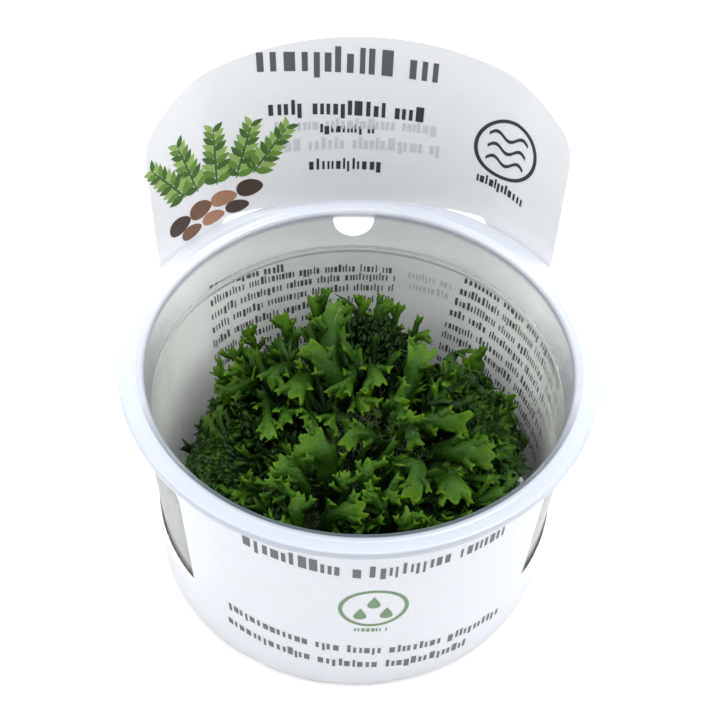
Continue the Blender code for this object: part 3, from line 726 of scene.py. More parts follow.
WAVE_HEIGHTS = (-3.2, 0.0, 3.2)
WAVE_REACH = 4.6
WAVE_RISE = 0.9
FRONT_RING = (177.4, 34.2)
FRONT_RING_RADIUS = 7.2
FRONT_RING_LINE = (182.0, 25.0, 173.0, 24.6)
DROPS = ((0.0, 0.2), (-2.7, -4.2), (2.7, -4.2))
DROP_LENGTH = 4.4
DROP_WIDTH = 2.7
LINE_WEIGHT = 0.85


def card_spot(face, angle, height):
    """A point just off the card's outside or inside. The angle is in degrees and the height in mm."""
    return sleeve_point(math.radians(angle), height * MM, face * (CARD / 2.0 + INK_LIFT))


def ink_form(shape, face, centre, form, steps=(1, 1)):
    """Lays one patch of ink. Form turns shares across and up into mm right of and above a centre."""
    radius = Vector(card_spot(face, *centre)[:2]).length / MM
    patch = bmesh.ops.create_grid(shape, x_segments=steps[0], y_segments=steps[1], size=0.5)
    for vert in patch["verts"]:
        right, up = form(vert.co.x + 0.5, vert.co.y + 0.5)
        vert.co = card_spot(face, centre[0] - face * math.degrees(right / radius), centre[1] + up)


def ink_bar(shape, face, centre, wide, low, high, slope):
    """Prints one upright bar of a line that may slope."""

    def bar(across, up):
        return wide * across, low + (high - low) * up + slope * wide * across

    ink_form(shape, face, centre, bar)


def ink_line(shape, face, size, weight, line, dice):
    """Sets a line of words as rows of upright bars with a few risers and tails."""
    first, start, last, end = line
    span = (card_spot(face, last, end) - card_spot(face, first, start)).length / MM
    arc = math.radians(abs(last - first)) / 2.0
    run = span * arc / math.sin(arc)
    slope = (end - start) / run
    turn = (last - first) / run
    place = 0.0
    while place < run:
        for _ in range(dice.randint(*WORD_BARS)):
            wide = size * dice.choice(BAR_WIDTHS) * weight
            if place + wide > run:
                return
            kind = dice.random()
            low = -size * TAIL_DEPTH if kind > 1.0 - TAIL_SHARE else 0.0
            high = size * (1.0 if kind < RISER_SHARE else BAR_HEIGHT)
            foot = (first + turn * place, start + slope * place)
            ink_bar(shape, face, foot, wide, low, high, slope)
            place += wide + size * BAR_GAP * dice.uniform(0.8, 1.6)
        place += size * WORD_GAP


def ink_leaf(shape, face, centre, foot, lean, length, width, fullness, belly=0.8):
    """Prints a leaf, drop or pebble: pointed at a fullness of 1, and widest lower where belly is less."""
    ahead = Vector((math.sin(math.radians(lean)), math.cos(math.radians(lean))))
    side = Vector((ahead.y, -ahead.x))

    def leaf(across, up):
        up = 0.5 - 0.499 * math.cos(math.pi * up)
        half = width / 2.0 * math.sin(math.pi * up**belly) ** fullness
        return Vector(foot) + ahead * length * up + side * half * (2.0 * across - 1.0)

    ink_form(shape, face, centre, leaf, (2, 10))


def ink_wave(shape, face, centre, height):
    """Prints one wave of even weight."""

    def wave(across, up):
        rise = WAVE_RISE * math.sin(3.0 * math.pi * across)
        return WAVE_REACH * (2.0 * across - 1.0), height + rise + LINE_WEIGHT * (up - 0.5)

    ink_form(shape, face, centre, wave, (30, 1))


def ink_ring(shape, face, centre, radius):
    """Prints a ring of even weight."""

    def ring(across, up):
        turn = 2.0 * math.pi * across
        reach = radius - LINE_WEIGHT * up
        return reach * math.sin(turn), reach * math.cos(turn)

    ink_form(shape, face, centre, ring, (72, 1))


def printing_ink(name, colour):
    """Offset ink: matt, a little uneven where the card's fibre shows through."""
    made, nodes, links, shader = start_material(name)
    fibre = add_noise(nodes, links, INK_FIBRE, 4.0, 0.7)
    thin = tuple(part * THIN_INK for part in colour)
    tone = add_tint(nodes, links, colour, thin, add_share(nodes, links, fibre, (0.45, 0.75)))
    links.new(tone, shader.inputs["Base Color"])
    links.new(add_range(nodes, links, fibre, (0.3, 0.7), (0.45, 0.62)), shader.inputs["Roughness"])
    return made


def add_print(name, shape, colour):
    """Gives a print its film of ink and adds it to the card."""
    bmesh.ops.remove_doubles(shape, verts=shape.verts, dist=INK_WELD)
    bmesh.ops.recalc_face_normals(shape, faces=shape.faces)
    bmesh.ops.solidify(shape, geom=shape.faces, thickness=INK_THICKNESS)
    bmesh.ops.recalc_face_normals(shape, faces=shape.faces)
    add_piece(name, close_mesh(name, shape), (printing_ink("ink_" + name, colour),))


def print_lines(lines, seed):
    """Sets lines that share one ink."""
    dice = random.Random(seed)
    shape = bmesh.new()
    for face, size, weight, line in lines:
        ink_line(shape, face, size, weight, line, dice)
    return shape


def print_sprays():
    """Prints the leafy sprays and the pebbles under them, one ink after the other."""
    leaves = [bmesh.new() for _ in SPRAY_GREENS]
    for across, up, lean in SPRAYS:
        foot = Vector((across, up))
        ahead = Vector((math.sin(math.radians(lean)), math.cos(math.radians(lean))))
        stalk = LEAF_WIDTH * STALK_SHARE
        ink_leaf(leaves[0], INSIDE, SPRAYS_PLACE, foot, lean, SPRAY_LENGTH, stalk, 0.5)
        for number in range(SPRAY_LEAVES):
            share = (number + 0.5) / SPRAY_LEAVES
            knot = foot + ahead * SPRAY_LENGTH * share
            size = 1.0 - LEAF_TAPER * share
            length, width = LEAF_LENGTH * size, LEAF_WIDTH * size
            for side in (-1.0, 1.0):
                spray_ink = leaves[(number + (side > 0.0)) % len(leaves)]
                tilt = lean + side * (LEAF_LEAN - LEAF_CLOSING * share)
                ink_leaf(spray_ink, INSIDE, SPRAYS_PLACE, knot, tilt, length, width, 1.0)
    for number, (shape, colour) in enumerate(zip(leaves, SPRAY_GREENS)):
        add_print("printed_leaves_%d" % number, shape, colour)
    pebbles = [bmesh.new() for _ in PEBBLE_BROWNS]
    for number, (across, up, wide, high) in enumerate(PEBBLES):
        shape = pebbles[number % len(pebbles)]
        ink_leaf(shape, INSIDE, SPRAYS_PLACE, (across - wide / 2.0, up), 90.0, wide, high, 0.5)
    for number, (shape, colour) in enumerate(zip(pebbles, PEBBLE_BROWNS)):
        add_print("printed_pebbles_%d" % number, shape, colour)


def print_rings(words):
    """Prints the ring of waves with the dark words, and the green ring with its drops."""
    ink_ring(words, INSIDE, HEADER_RING, HEADER_RING_RADIUS)
    for height in WAVE_HEIGHTS:
        ink_wave(words, INSIDE, HEADER_RING, height)
    green = bmesh.new()
    ink_ring(green, OUTSIDE, FRONT_RING, FRONT_RING_RADIUS)
    for across, up in DROPS:
        ink_leaf(green, OUTSIDE, FRONT_RING, (across, up), 0.0, DROP_LENGTH, DROP_WIDTH, 1.0, 0.5)
    ink_line(green, OUTSIDE, 1.7, 1.4, FRONT_RING_LINE, random.Random(3))
    add_print("printed_green", green, INK_GREEN)


dark_words = print_lines(SMALL_LINES, 11)
print_rings(dark_words)
add_print("printed_dark", dark_words, INK_BLACK)
add_print("printed_grey", print_lines(GREY_LINES, 12), INK_GREY)
add_print("show_through", print_lines(GHOST_LINES, 13), GHOST_GREY)
print_sprays()


# The big thalli are the liverwort's own flat green body: soft ribbons that rise out of the mass, rolled
# a little along their length and flared at the tip into pointed ears. They grow out of the mass, and
# nothing else holds them.
ROOT_DEPTH = 5.0 * MM
RIBBON_COLUMNS = 14
RIBBON_STATIONS = 26
RIB_THICKNESS = 1.15 * MM
BLADE_THICKNESS = 0.42 * MM
RIPPLE = 0.11
# The tip: where along the ribbon it flares, grows ears and rounds off, and by what share of its width.
# By the last two shares its roll opens and its blade thins.
FLARE_START = 0.62
FLARE = 0.3
EAR_START = 0.72
EAR_SHARE = 0.27
ROUNDING_START = 0.88
EAR_ROUNDING = 0.2
TIP_OPENING = 0.55
TIP_THINNING = 0.45
# What differs from ribbon to ribbon: its roll, its tip's lift, and how many notches it has and how deep.
ROLLS = (0.55, 1.15)
TIP_LIFTS = (-0.10, 0.22)
NOTCH_BEATS = (2.4, 4.2)
NOTCH_DEPTHS = (0.14, 0.38)
# The short side lobes on each ribbon: how many, and their lengths and widths in mm.
LOBES = 3
LOBE_LENGTHS = (2.0, 3.8)
LOBE_WIDTHS = (1.6, 2.5)
FACING = Vector((0.0, -0.55, 0.83))
# Each thallus: its name, then one row for each branch.
# A row holds the points of its middle line in mm, its width at each in mm, its ears, and, for a side
# branch, the share of the first row's length at which it forks off.
THALLI = (
    ("crown_lobe", (((-4.5, 18, 32), (-5, 24.5, 35), (-4.5, 29, 38), (-3.5, 34, 39.5)),
                    (4, 7, 7.5, 6), 3)),
    ("crown_back", (((-7.5, 33, 30), (-8.5, 33.5, 36), (-9.5, 36.5, 40)), (2.5, 3, 3), 2),
     (((-7.2, 35.4, 38), (-6.4, 37.2, 41)), (2, 2.4, 2.4), 2, 0.4)),
    ("left_blunt", (((-14, 29.5, 28), (-15.5, 30.5, 33), (-17, 33.5, 37)), (3, 3.2, 3), 2)),
    ("left_club", (((-22.5, 29, 25), (-23.5, 30, 30), (-25.5, 31.5, 34)), (2.2, 2.4, 2.8), 2)),
    ("left_vee", (((-26.5, 26.5, 23), (-27.5, 26, 29), (-29, 27, 32)), (2.5, 2.5, 2), 2),
     (((-25.5, 26, 30), (-24.5, 26.5, 32)), (2, 2.2, 1.8), 2, 0.4)),
    ("left_hand", (((-27.5, 22, 24), (-30, 21.5, 28), (-32.5, 22.5, 30)), (3, 3.5, 3.5), 3)),
    ("left_sprig", (((-23, 19, 30), (-25.5, 18, 33.5), (-28, 18, 36)), (2, 2.4, 2.2), 2)),
    ("left_strap", (((-21, 18.5, 31), (-25, 14, 34), (-28.5, 12.5, 33), (-31, 13, 30)),
                    (2.5, 3.2, 3, 3.8), 3)),
    ("left_prong", (((-14, 20.5, 33.5), (-17, 16, 37.5), (-19, 13, 38), (-18, 11.5, 36)),
                    (3, 3.5, 3.5, 3), 2)),
    ("left_fan", (((-10, 17.5, 33), (-12.5, 11.5, 37.5), (-14.5, 8, 37)), (4, 6, 6), 3)),
    ("left_drop", (((-20.5, 13, 31), (-20, 4.5, 34), (-19.5, -1, 33)), (2, 2.4, 4), 3)),
    ("left_cap", (((-16.5, 9, 31.5), (-16, 4.5, 35), (-15.5, 2, 34.5)), (2.5, 3.6, 3), 2)),
    ("mid_blade", (((-2, 12, 32), (-5, 13.5, 37.5), (-8.5, 16.5, 41), (-11, 20, 41)),
                   (5, 7, 6, 3.5), 2)),
    ("mid_curl", (((-0.5, 19, 34.5), (-0.5, 11, 40), (-3, 7.5, 41), (-4, 6, 38.5)),
                  (2.2, 3, 3.2, 2.6), 2)),
    ("mid_fork", (((-4, 7, 31.5), (-5, 3.5, 35), (-6.3, 1, 34.5)), (2.2, 2.8, 2.4), 2),
     (((-3, 2, 35.5), (-1.5, 0.5, 34.5)), (2, 2.6, 2.2), 2, 0.45)),
    ("mid_sprig", (((-9, 7, 31), (-10.5, 3.5, 35.5), (-12, 2, 35.5)), (2, 2.6, 2.4), 2),
     (((-9.5, 1, 36), (-9.3, -0.5, 35)), (2, 2.2, 2), 2, 0.5)),
    ("back_slim", (((0.5, 33, 30), (1.5, 33.5, 36), (3, 35.5, 40)), (2.2, 2.6, 3), 2)),
    ("back_hook", (((4, 30.5, 30), (5.5, 31, 36), (6.5, 33.5, 39.5), (9, 34.5, 39)),
                   (2.6, 3, 3, 2.4), 2)),
    ("back_arm", (((9, 33, 28), (9.8, 33.5, 34), (11.5, 35.5, 38)), (2.2, 2.4, 2.4), 2)),
    ("back_stag", (((12, 29, 27), (14.5, 30, 32), (18, 29.5, 34)), (2.2, 2.6, 2.4), 2),
     (((15, 32, 34), (16, 33.5, 36)), (1.8, 2.2, 2), 2, 0.45)),
    ("tall_strap", (((11.5, 11.5, 30.5), (13, 15, 34), (14, 17.5, 37), (15.5, 21, 38.5)),
                    (4, 5.2, 5.4, 6.8), 3)),
    ("right_lobe", (((29.5, 20.5, 22), (29, 21, 29), (27.5, 22.5, 34)), (4, 6, 4), 3)),
    ("right_hand", (((26, 15.5, 28), (23.5, 14, 33), (21, 12, 34)), (3, 4, 4), 2)),
    ("right_edge", (((34, 14, 20), (35, 13, 25), (35.5, 14, 30)), (3, 4, 4), 2)),
    ("long_strap", (((11, 3, 31), (15.5, 1.5, 35.5), (20.5, 1, 36), (25, 1.5, 34)), (4, 5, 5, 7), 2)),
    ("star_arm", (((9, -0.5, 31), (11, -2.5, 38.5), (12.5, -1, 41)), (2.4, 3.6, 3.4), 2),
     (((11.5, -5.5, 40), (12.5, -7.5, 38)), (2.6, 3.6, 4.2), 2, 0.6)),
    ("long_arch", (((6.5, -1, 30), (3, -2, 35), (-0.5, -2.5, 36), (-3, -5, 34.5)),
                   (2.6, 3.2, 3.8, 3.2), 2)),
    ("saw_ribbon", (((3.5, 20.5, 33), (4.2, 15.5, 37), (5.2, 11.5, 36.5)), (3, 4.4, 4), 3)),
    ("mid_hand", (((0.5, 11, 32), (0.5, 7.5, 36), (2.5, 4.5, 36)), (2.6, 4, 4), 3)),
    ("tee_arm", (((6.5, 7.5, 31), (8.2, 6, 36), (11, 7, 37.5)), (2.4, 3.2, 3.4), 2),
     (((9.7, 4, 37), (10, 2.2, 36)), (2, 2.2, 2.4), 2, 0.6)),
    ("broad_lobe", (((-4.5, -11, 29.5), (-6.5, -10.5, 35.5), (-9, -8.5, 39), (-12, -6, 39)),
                    (7, 9.5, 9.5, 7), 3)),
    ("lobe_arm", (((-11, -13, 29.5), (-14, -11, 33.5), (-17.5, -8, 34)), (3, 4, 3), 2)),
    ("tongue", (((17, -3, 29.5), (21, -6, 34.5), (25.5, -7, 35), (30, -6, 32.5)), (4, 7, 7.5, 6), 3)),
    ("front_arch", (((6, -9, 29.5), (8.5, -10, 35.5), (12.5, -12, 37.5), (12, -16.5, 36), (10.5, -19, 34)),
                    (4, 4.6, 4.6, 4.4, 4), 2)),
    ("front_curtain", (((17.5, -9, 29), (20, -12.5, 32.5), (21, -17, 31)), (4, 7, 7), 3)),
    ("front_stem", (((1.2, -14, 29), (1.6, -12.5, 34), (3, -9, 35)), (3, 3.4, 2.6), 2)),
    ("front_twig", (((-3, -15.5, 29), (-3, -15, 33.5), (-3, -12.5, 35.5)), (2, 2.8, 2.4), 3)),
    ("front_paw", (((4.5, -16.5, 29.5), (6, -17.2, 33), (8.2, -16.6, 34)), (2.4, 3.2, 3.2), 3)),
    ("front_broad", (((-7, -20, 29), (-3.5, -22, 33.5), (0.5, -21.5, 35.5)), (4, 5.5, 6), 3)),
    ("front_horn", (((-13.5, -23, 28), (-13.5, -21.5, 33.5), (-13, -18, 35)), (4, 4.6, 3.4), 3)),
    ("front_fork", (((-14, -15, 29), (-17.5, -15, 33), (-19.5, -13, 34)), (2.4, 2.8, 2.6), 2),
     (((-19.5, -17, 33.5), (-21, -17, 32.5)), (2, 2.2, 2), 2, 0.5)),
    ("front_bow", (((9, -25, 28), (9.5, -24, 32.5), (11, -22, 34)), (2.6, 3, 3.4), 2)),
    ("front_shoot", (((6, -20.5, 29.5), (3.5, -19, 34), (1, -17.5, 35)), (2.4, 3, 3.2), 3)),
)
# The plant's green, from its near-black foot, which is painted shade of the hollows, to its growing tip,
# and where each lies on the way.
FOOT_SHADE_GREEN = (0.0015, 0.004, 0.001)
STEM_GREEN = (0.0045, 0.017, 0.002)
BLADE_GREEN = (0.0175, 0.055, 0.0028)
TIP_GREEN = (0.040, 0.101, 0.0036)
EAR_GREEN = (0.063, 0.140, 0.0052)
GREENS = ((0.0, FOOT_SHADE_GREEN), (0.3, STEM_GREEN), (0.6, BLADE_GREEN), (0.88, TIP_GREEN), (1.0, EAR_GREEN))
PATCH_SIZE = 2.2 * MM
CELL_SIZE = 0.42 * MM
CELL_GRAIN = 0.05
PUCKER_SIZE = 1.1 * MM
PUCKER_DEPTH = 0.5 * MM
WET_ROUGHNESS = (0.16, 0.36)
GLOSS_TINT = (0.6, 1.0, 0.4)
GLOSS_LEVEL = 0.17
FILM_WEIGHT = 0.08
FILM_ROUGHNESS = 0.14


def liverwort(name, mottle):
    """Moist green tissue: darkened at the foot as painted shade, bright at the growing tip, with fine cells
    and a wet sheen.
    """
    made, nodes, links, shader = start_material(name)
    # The tone follows an attribute: how grown the tissue is, lowered at the feet and in deep shoots as
    # painted shade, and raised at thin edges as a painted glow of light through them.
    age = nodes.new("ShaderNodeAttribute")
    age.attribute_name = "growth_and_shade"
    patches = add_noise(nodes, links, PATCH_SIZE, 4.0, 0.6)
    patches = add_range(nodes, links, patches, (0.3, 0.7), (-mottle, mottle))
    cells = add_noise(nodes, links, CELL_SIZE, 3.0, 0.6)
    grain = add_range(nodes, links, cells, (0.3, 0.7), (-CELL_GRAIN, CELL_GRAIN))
    uneven = add_sum(nodes, links, "ADD", patches, grain)
    shift = add_sum(nodes, links, "ADD", age.outputs["Fac"], uneven)
    greens = nodes.new("ShaderNodeValToRGB")
    ramp = greens.color_ramp.elements
    for stop, (_, colour) in zip(ramp, (GREENS[0], GREENS[-1])):
        stop.color = (*colour, 1.0)
    for place, colour in GREENS[1:-1]:
        ramp.new(place).color = (*colour, 1.0)
    links.new(shift, greens.inputs["Fac"])
    links.new(greens.outputs["Color"], shader.inputs["Base Color"])
    roughness = add_range(nodes, links, cells, (0.3, 0.7), WET_ROUGHNESS)
    links.new(roughness, shader.inputs["Roughness"])
    pucker = add_noise(nodes, links, PUCKER_SIZE, 5.0, 0.7)
    add_bump(nodes, links, pucker, shader, 1.0, PUCKER_DEPTH)
    shader.inputs["Specular IOR Level"].default_value = GLOSS_LEVEL
    shader.inputs["Specular Tint"].default_value = (*GLOSS_TINT, 1.0)
    shader.inputs["Coat Weight"].default_value = FILM_WEIGHT
    shader.inputs["Coat Roughness"].default_value = FILM_ROUGHNESS
    return made


def curve_point(points, share):
    """A point on a smooth curve through the given points, at a share of its span."""
    place = share * (len(points) - 1)
    part = min(int(place), len(points) - 2)
    local = place - part
    before = points[max(part - 1, 0)]
    start = points[part]
    end = points[part + 1]
    after = points[min(part + 2, len(points) - 1)]
    lead_in = (end - before) * 0.5
    lead_out = (after - start) * 0.5
    square = local * local
    cube = square * local
    return (
        start * (2 * cube - 3 * square + 1)
        + lead_in * (cube - 2 * square + local)
        + end * (3 * square - 2 * cube)
        + lead_out * (cube - square)
    )


def ribbon_frames(points, stations):
    """Middle, direction and side of a ribbon at each station. The side is carried back from the tip."""
    middles = [curve_point(points, station / stations) for station in range(stations + 1)]
    aheads = []
    for station in range(stations + 1):
        share = station / stations
        back = curve_point(points, max(share - 0.05, 0.0))
        front = curve_point(points, min(share + 0.05, 1.0))
        aheads.append((front - back).normalized())
    side = aheads[-1].cross(FACING)
    if side.length < 0.5:
        side = Vector((1.0, 0.0, 0.0))
    sides = []
    for ahead in reversed(aheads):
        side = (side - ahead * side.dot(ahead)).normalized()
        sides.insert(0, side)
    return list(zip(middles, aheads, sides))


def unit_ribbon(columns, stations):
    """A flat slab to bend: x across from -1 to 1, y along from -1 to 1, z through from -0.5 to 0.5."""
    shape = bmesh.new()
    bmesh.ops.create_grid(shape, x_segments=columns, y_segments=stations, size=1.0)
    bmesh.ops.solidify(shape, geom=shape.faces, thickness=1.0)
    low = min(vert.co.z for vert in shape.verts)
    bmesh.ops.translate(shape, verts=shape.verts, vec=(0.0, 0.0, -0.5 - low))
    bmesh.ops.recalc_face_normals(shape, faces=shape.faces)
    return shape


def ear_reach(across, ears):
    """How far the tip's edge stands out: 1 at each pointed ear, 0 in the hollows between."""
    return abs(math.cos(math.pi * (ears - 1) * (across + 1.0) / 2.0)) ** 1.2


def lay_branch(shape, points, widths, ears, dice, steps=(RIBBON_COLUMNS, RIBBON_STATIONS), age=0.0):
    """Bends a flat slab along a middle line: rolled along its length, flared and eared at its tip."""
    columns, stations = steps
    slab = unit_ribbon(columns, stations)
    growth_and_shade = slab.verts.layers.float.new("growth_and_shade")
    frames = ribbon_frames(points, stations)
    roll = dice.uniform(*ROLLS)
    bend_up = dice.uniform(*TIP_LIFTS)
    beats = dice.uniform(*NOTCH_BEATS)
    phases = (dice.random(), dice.random())
    bites = dice.uniform(*NOTCH_DEPTHS)
    seed = Vector((dice.uniform(0, 90), dice.uniform(0, 90), dice.uniform(0, 90)))
    width_points = [Vector((width, 0.0, 0.0)) for width in widths]
    for vert in slab.verts:
        across, along, depth = vert.co.x, (vert.co.y + 1.0) / 2.0, vert.co.z
        middle, ahead, side = frames[round(along * stations)]
        normal = side.cross(ahead).normalized()
        width = curve_point(width_points, along).x * MM
        tip = smooth_step(FLARE_START, 1.0, along)
        notch = abs(math.sin(math.pi * (beats * along + phases[across > 0.0]))) ** 0.7
        edge = 1.0 - bites * notch * smooth_step(0.1, 0.5, along) * abs(across)
        edge *= 1.0 - EAR_ROUNDING * smooth_step(ROUNDING_START, 1.0, along)
        half = width / 2.0 * (1.0 + FLARE * tip * tip) * edge
        turned = roll * (1.0 - TIP_OPENING * tip)
        reach = half * math.sin(turned * across) / turned
        sink = half * (1.0 - math.cos(turned * across)) / turned
        lift = bend_up * width * tip * abs(across) ** 1.5
        ripple = noise.noise(seed + Vector((across * 0.9, along * 4.5, 0.0))) * RIPPLE * width
        ear = ear_reach(across, ears) - 0.45
        forward = EAR_SHARE * width * ear * smooth_step(EAR_START, 1.0, along)
        off_rib = 1.0 - (1.0 - abs(across)) ** 1.4
        thick = RIB_THICKNESS + (BLADE_THICKNESS - RIB_THICKNESS) * off_rib
        thick *= 1.0 - TIP_THINNING * smooth_step(0.7, 1.0, along)
        vert.co = (
            middle
            + side * reach
            + ahead * forward
            + normal * (lift + ripple - sink + depth * thick)
        )
        # The tone: held dark at the foot, painted shade down in the mass; rising to the tip; lighter at the
        # edge, a painted glow of light through the thin blade.
        rim = 0.12 * abs(across) ** 3
        vert[growth_and_shade] = min(0.16 + 0.2 * tip + rim + age + (0.62 - age) * along**1.15, 1.0)
    mesh = close_mesh("slab", slab)
    shape.from_mesh(mesh)
    bpy.data.meshes.remove(mesh)


def add_lobes(shape, points, widths, dice):
    """Sets short forked lobes on the edges of a ribbon, as the growing liverwort does."""
    frames = ribbon_frames(points, RIBBON_STATIONS)
    hand = dice.choice((-1.0, 1.0))
    for number in range(LOBES):
        share = dice.uniform(0.42, 0.58) + 0.34 * number / (LOBES - 1)
        middle, ahead, side = frames[round(share * RIBBON_STATIONS)]
        hand = -hand
        width = curve_point([Vector((width, 0.0, 0.0)) for width in widths], share).x * MM
        onward = ahead * dice.uniform(0.5, 1.1)
        rise = side.cross(ahead) * dice.uniform(-0.2, 0.5)
        out = (side * hand + onward + rise).normalized()
        length = dice.uniform(*LOBE_LENGTHS) * MM
        start = middle + side * hand * width * 0.2
        end = start + (out + ahead * 0.35).normalized() * length
        lobe_width = min(dice.uniform(*LOBE_WIDTHS), width / MM * 0.6)
        route = [start, start + out * length * 0.55, end]
        lobe_widths = [lobe_width * 1.2, lobe_width, lobe_width]
        lay_branch(shape, route, lobe_widths, 2, dice, (6, 10), 0.7 * share - 0.1)


def build_thallus(name, branches, green, dice):
    """One thallus with its side branches, in place of the plain ribbon of the same name."""
    shape = bmesh.new()
    stem_points = [Vector(point) * MM for point in branches[0][0]]
    stem_points.insert(0, stem_points[0] - Vector((0.0, 0.0, ROOT_DEPTH)))
    stem_widths = (branches[0][1][0],) + branches[0][1]
    lay_branch(shape, stem_points, stem_widths, branches[0][2], dice)
    spans = len(stem_points) - 1
    for points, widths, ears, fork in branches[1:]:
        start = curve_point(stem_points, (1 + fork * (spans - 1)) / spans)
        branch_points = [start] + [Vector(point) * MM for point in points]
        lay_branch(shape, branch_points, widths, ears, dice)
    add_lobes(shape, stem_points, stem_widths, dice)
    mesh = close_mesh("green_" + name, shape)
    mesh.shade_smooth()
    add_piece("green_" + name, mesh, (green,), ("thallus_" + name,))


bright_green = liverwort("liverwort_bright", 0.08)
ribbon_dice = random.Random(5)
for thallus, *thallus_branches in THALLI:
    build_thallus(thallus, thallus_branches, bright_green, ribbon_dice)


# Below the big thalli the plant is one dense mass of small shoots round a near-black heart, which is
# painted shade of the depths. Each shoot is the same flat green tissue, flared and eared at its tip. The
# mass stands on the tub's floor.
FOOT_HEIGHT = 1.3 * MM
MASS_RADIUS = 39.5 * MM
MASS_HEIGHT = 27.0 * MM
MASS_SHOULDER = 13.0
MASS_EDGE = 0.42
MASS_LIMIT = 42.2 * MM
# Heaps and hollows of the mass: the middle, the height and the spread of each, in mm.
HEAPS = (
    (-28.0, 17.0, 5.0, 6.5),
    (-19.0, 27.0, 7.0, 6.0),
    (-4.0, 33.0, 9.0, 6.5),
    (8.0, 31.0, 6.0, 6.0),
    (28.0, 19.0, 6.5, 6.5),
    (32.5, 5.0, 5.0, 7.0),
    (17.5, 29.0, -4.5, 4.0),
    (-12.0, 6.5, -7.0, 3.2),
    (-22.5, -5.5, -9.0, 4.2),
    (7.5, 21.5, -7.0, 3.4),
    (4.0, 7.0, -5.0, 4.5),
    (17.0, 3.0, -6.0, 3.2),
    (19.0, 18.5, -6.5, 3.2),
    (-8.5, -20.5, -7.0, 3.4),
    (26.0, -17.0, -7.0, 3.4),
    (-4.5, -6.5, -5.5, 3.6),
    (-16.5, -15.0, -6.0, 3.2),
)
HEART_SHARE = 0.72
HEART_RELIEF = 3.2 * MM
HEART_LUMP = 2.4 * MM
# The heart's tone on the green ramp: near black, painted shade of the mass's depths.
HEART_SHADE = 0.03
SHOOT_COLUMNS = 4
SHOOT_STATIONS = 6
SHOOT_THICKNESS = 0.85 * MM
SHOOT_EDGE_THICKNESS = 0.35 * MM
SHOOT_THINNING = 0.4
# What differs from shoot to shoot: its roll, its twist, and how deep its notches are.
SHOOT_ROLLS = (0.5, 1.5)
SHOOT_TWIST = 0.45
SHOOT_NOTCH_DEPTHS = (0.05, 0.3)
# A carpet of shoots: its name, how many sprigs and the tips on each, its patch (the middle and spread in
# mm, or None for the whole). Then how high it lies on the mass, the shoots' length and width in mm, their
# ears and how deep the hollows between them are, how grown the tips are (low in the deep carpets, whose
# dark is painted shade), how untidy they lie, and its seed.
CARPETS = (
    ("shoots_deep", 420, 1, None,
     (0.62, 0.8), (7.0, 10.0), (3.0, 4.6), 2, (0.04, 0.12), (0.05, 0.2), 0.7, 21),
    ("shoots_low", 320, 2, None,
     (0.76, 0.9), (7.0, 10.0), (2.8, 4.2), 2, (0.06, 0.16), (0.16, 0.38), 0.7, 22),
    ("shoots_middle", 260, 2, None,
     (0.88, 1.0), (7.0, 10.0), (2.4, 4.0), 3, (0.06, 0.16), (0.3, 0.6), 0.7, 23),
    ("shoots_top", 180, 2, None,
     (0.99, 1.10), (7.0, 10.5), (2.2, 3.8), 2, (0.06, 0.16), (0.6, 0.94), 0.7, 24),
    ("shoots_bright", 80, 3, None,
     (1.02, 1.13), (7.0, 11.0), (2.2, 3.8), 3, (0.06, 0.16), (0.72, 1.0), 0.7, 28),
    ("shoots_front", 50, 3, (-3.0, -31.0, 7.0),
     (0.84, 1.0), (6.0, 9.0), (2.4, 4.0), 2, (0.06, 0.16), (0.2, 0.7), 0.7, 29),
    ("fringe_left", 1200, 1, (-33.5, -2.0, 6.5),
     (0.92, 1.05), (1.6, 2.9), (1.5, 2.8), 3, (0.15, 0.35), (0.3, 0.76), 1.6, 25),
    ("fringe_back", 600, 1, (8.0, 30.0, 4.0),
     (0.94, 1.07), (1.4, 2.5), (1.2, 2.1), 3, (0.2, 0.4), (0.25, 0.56), 1.6, 26),
    ("fringe_right", 150, 2, (33.0, 8.0, 8.0),
     (0.94, 1.06), (4.0, 7.0), (3.6, 6.0), 3, (0.2, 0.4), (0.36, 0.76), 1.0, 27),
)
# Tufts of root hairs: the middle in mm, how far they scatter, and how many.
RHIZOID_TUFTS = (
    (-2.0, 4.0, 28.0, 3.0, 70),
    (3.5, 8.0, 29.5, 3.0, 70),
    (9.5, 0.5, 29.0, 3.2, 60),
    (10.0, 27.0, 30.5, 3.0, 50),
    (-15.0, -13.0, 29.0, 2.5, 30),
)
RHIZOID_RADIUS = 0.032 * MM
RHIZOID_LENGTHS = (2.0, 4.5)
RHIZOID_PATCH = 1.5 * MM
RHIZOID_ROUGHNESS = 0.35
OLD_HAIR = (0.02, 0.04, 0.015)
NEW_HAIR = (0.15, 0.19, 0.12)


def mass_height(across, along):
    """How high the mass of shoots stands above its foot at a place."""
    share = min(math.hypot(across, along) / MASS_RADIUS, 1.0)
    edge = (1.0 - share**MASS_SHOULDER) ** MASS_EDGE
    height = MASS_HEIGHT
    for middle_across, middle_along, rise, spread in HEAPS:
        away = (across - middle_across * MM) ** 2 + (along - middle_along * MM) ** 2
        height += rise * MM * math.exp(-away / (2.0 * (spread * MM) ** 2))
    return height * edge


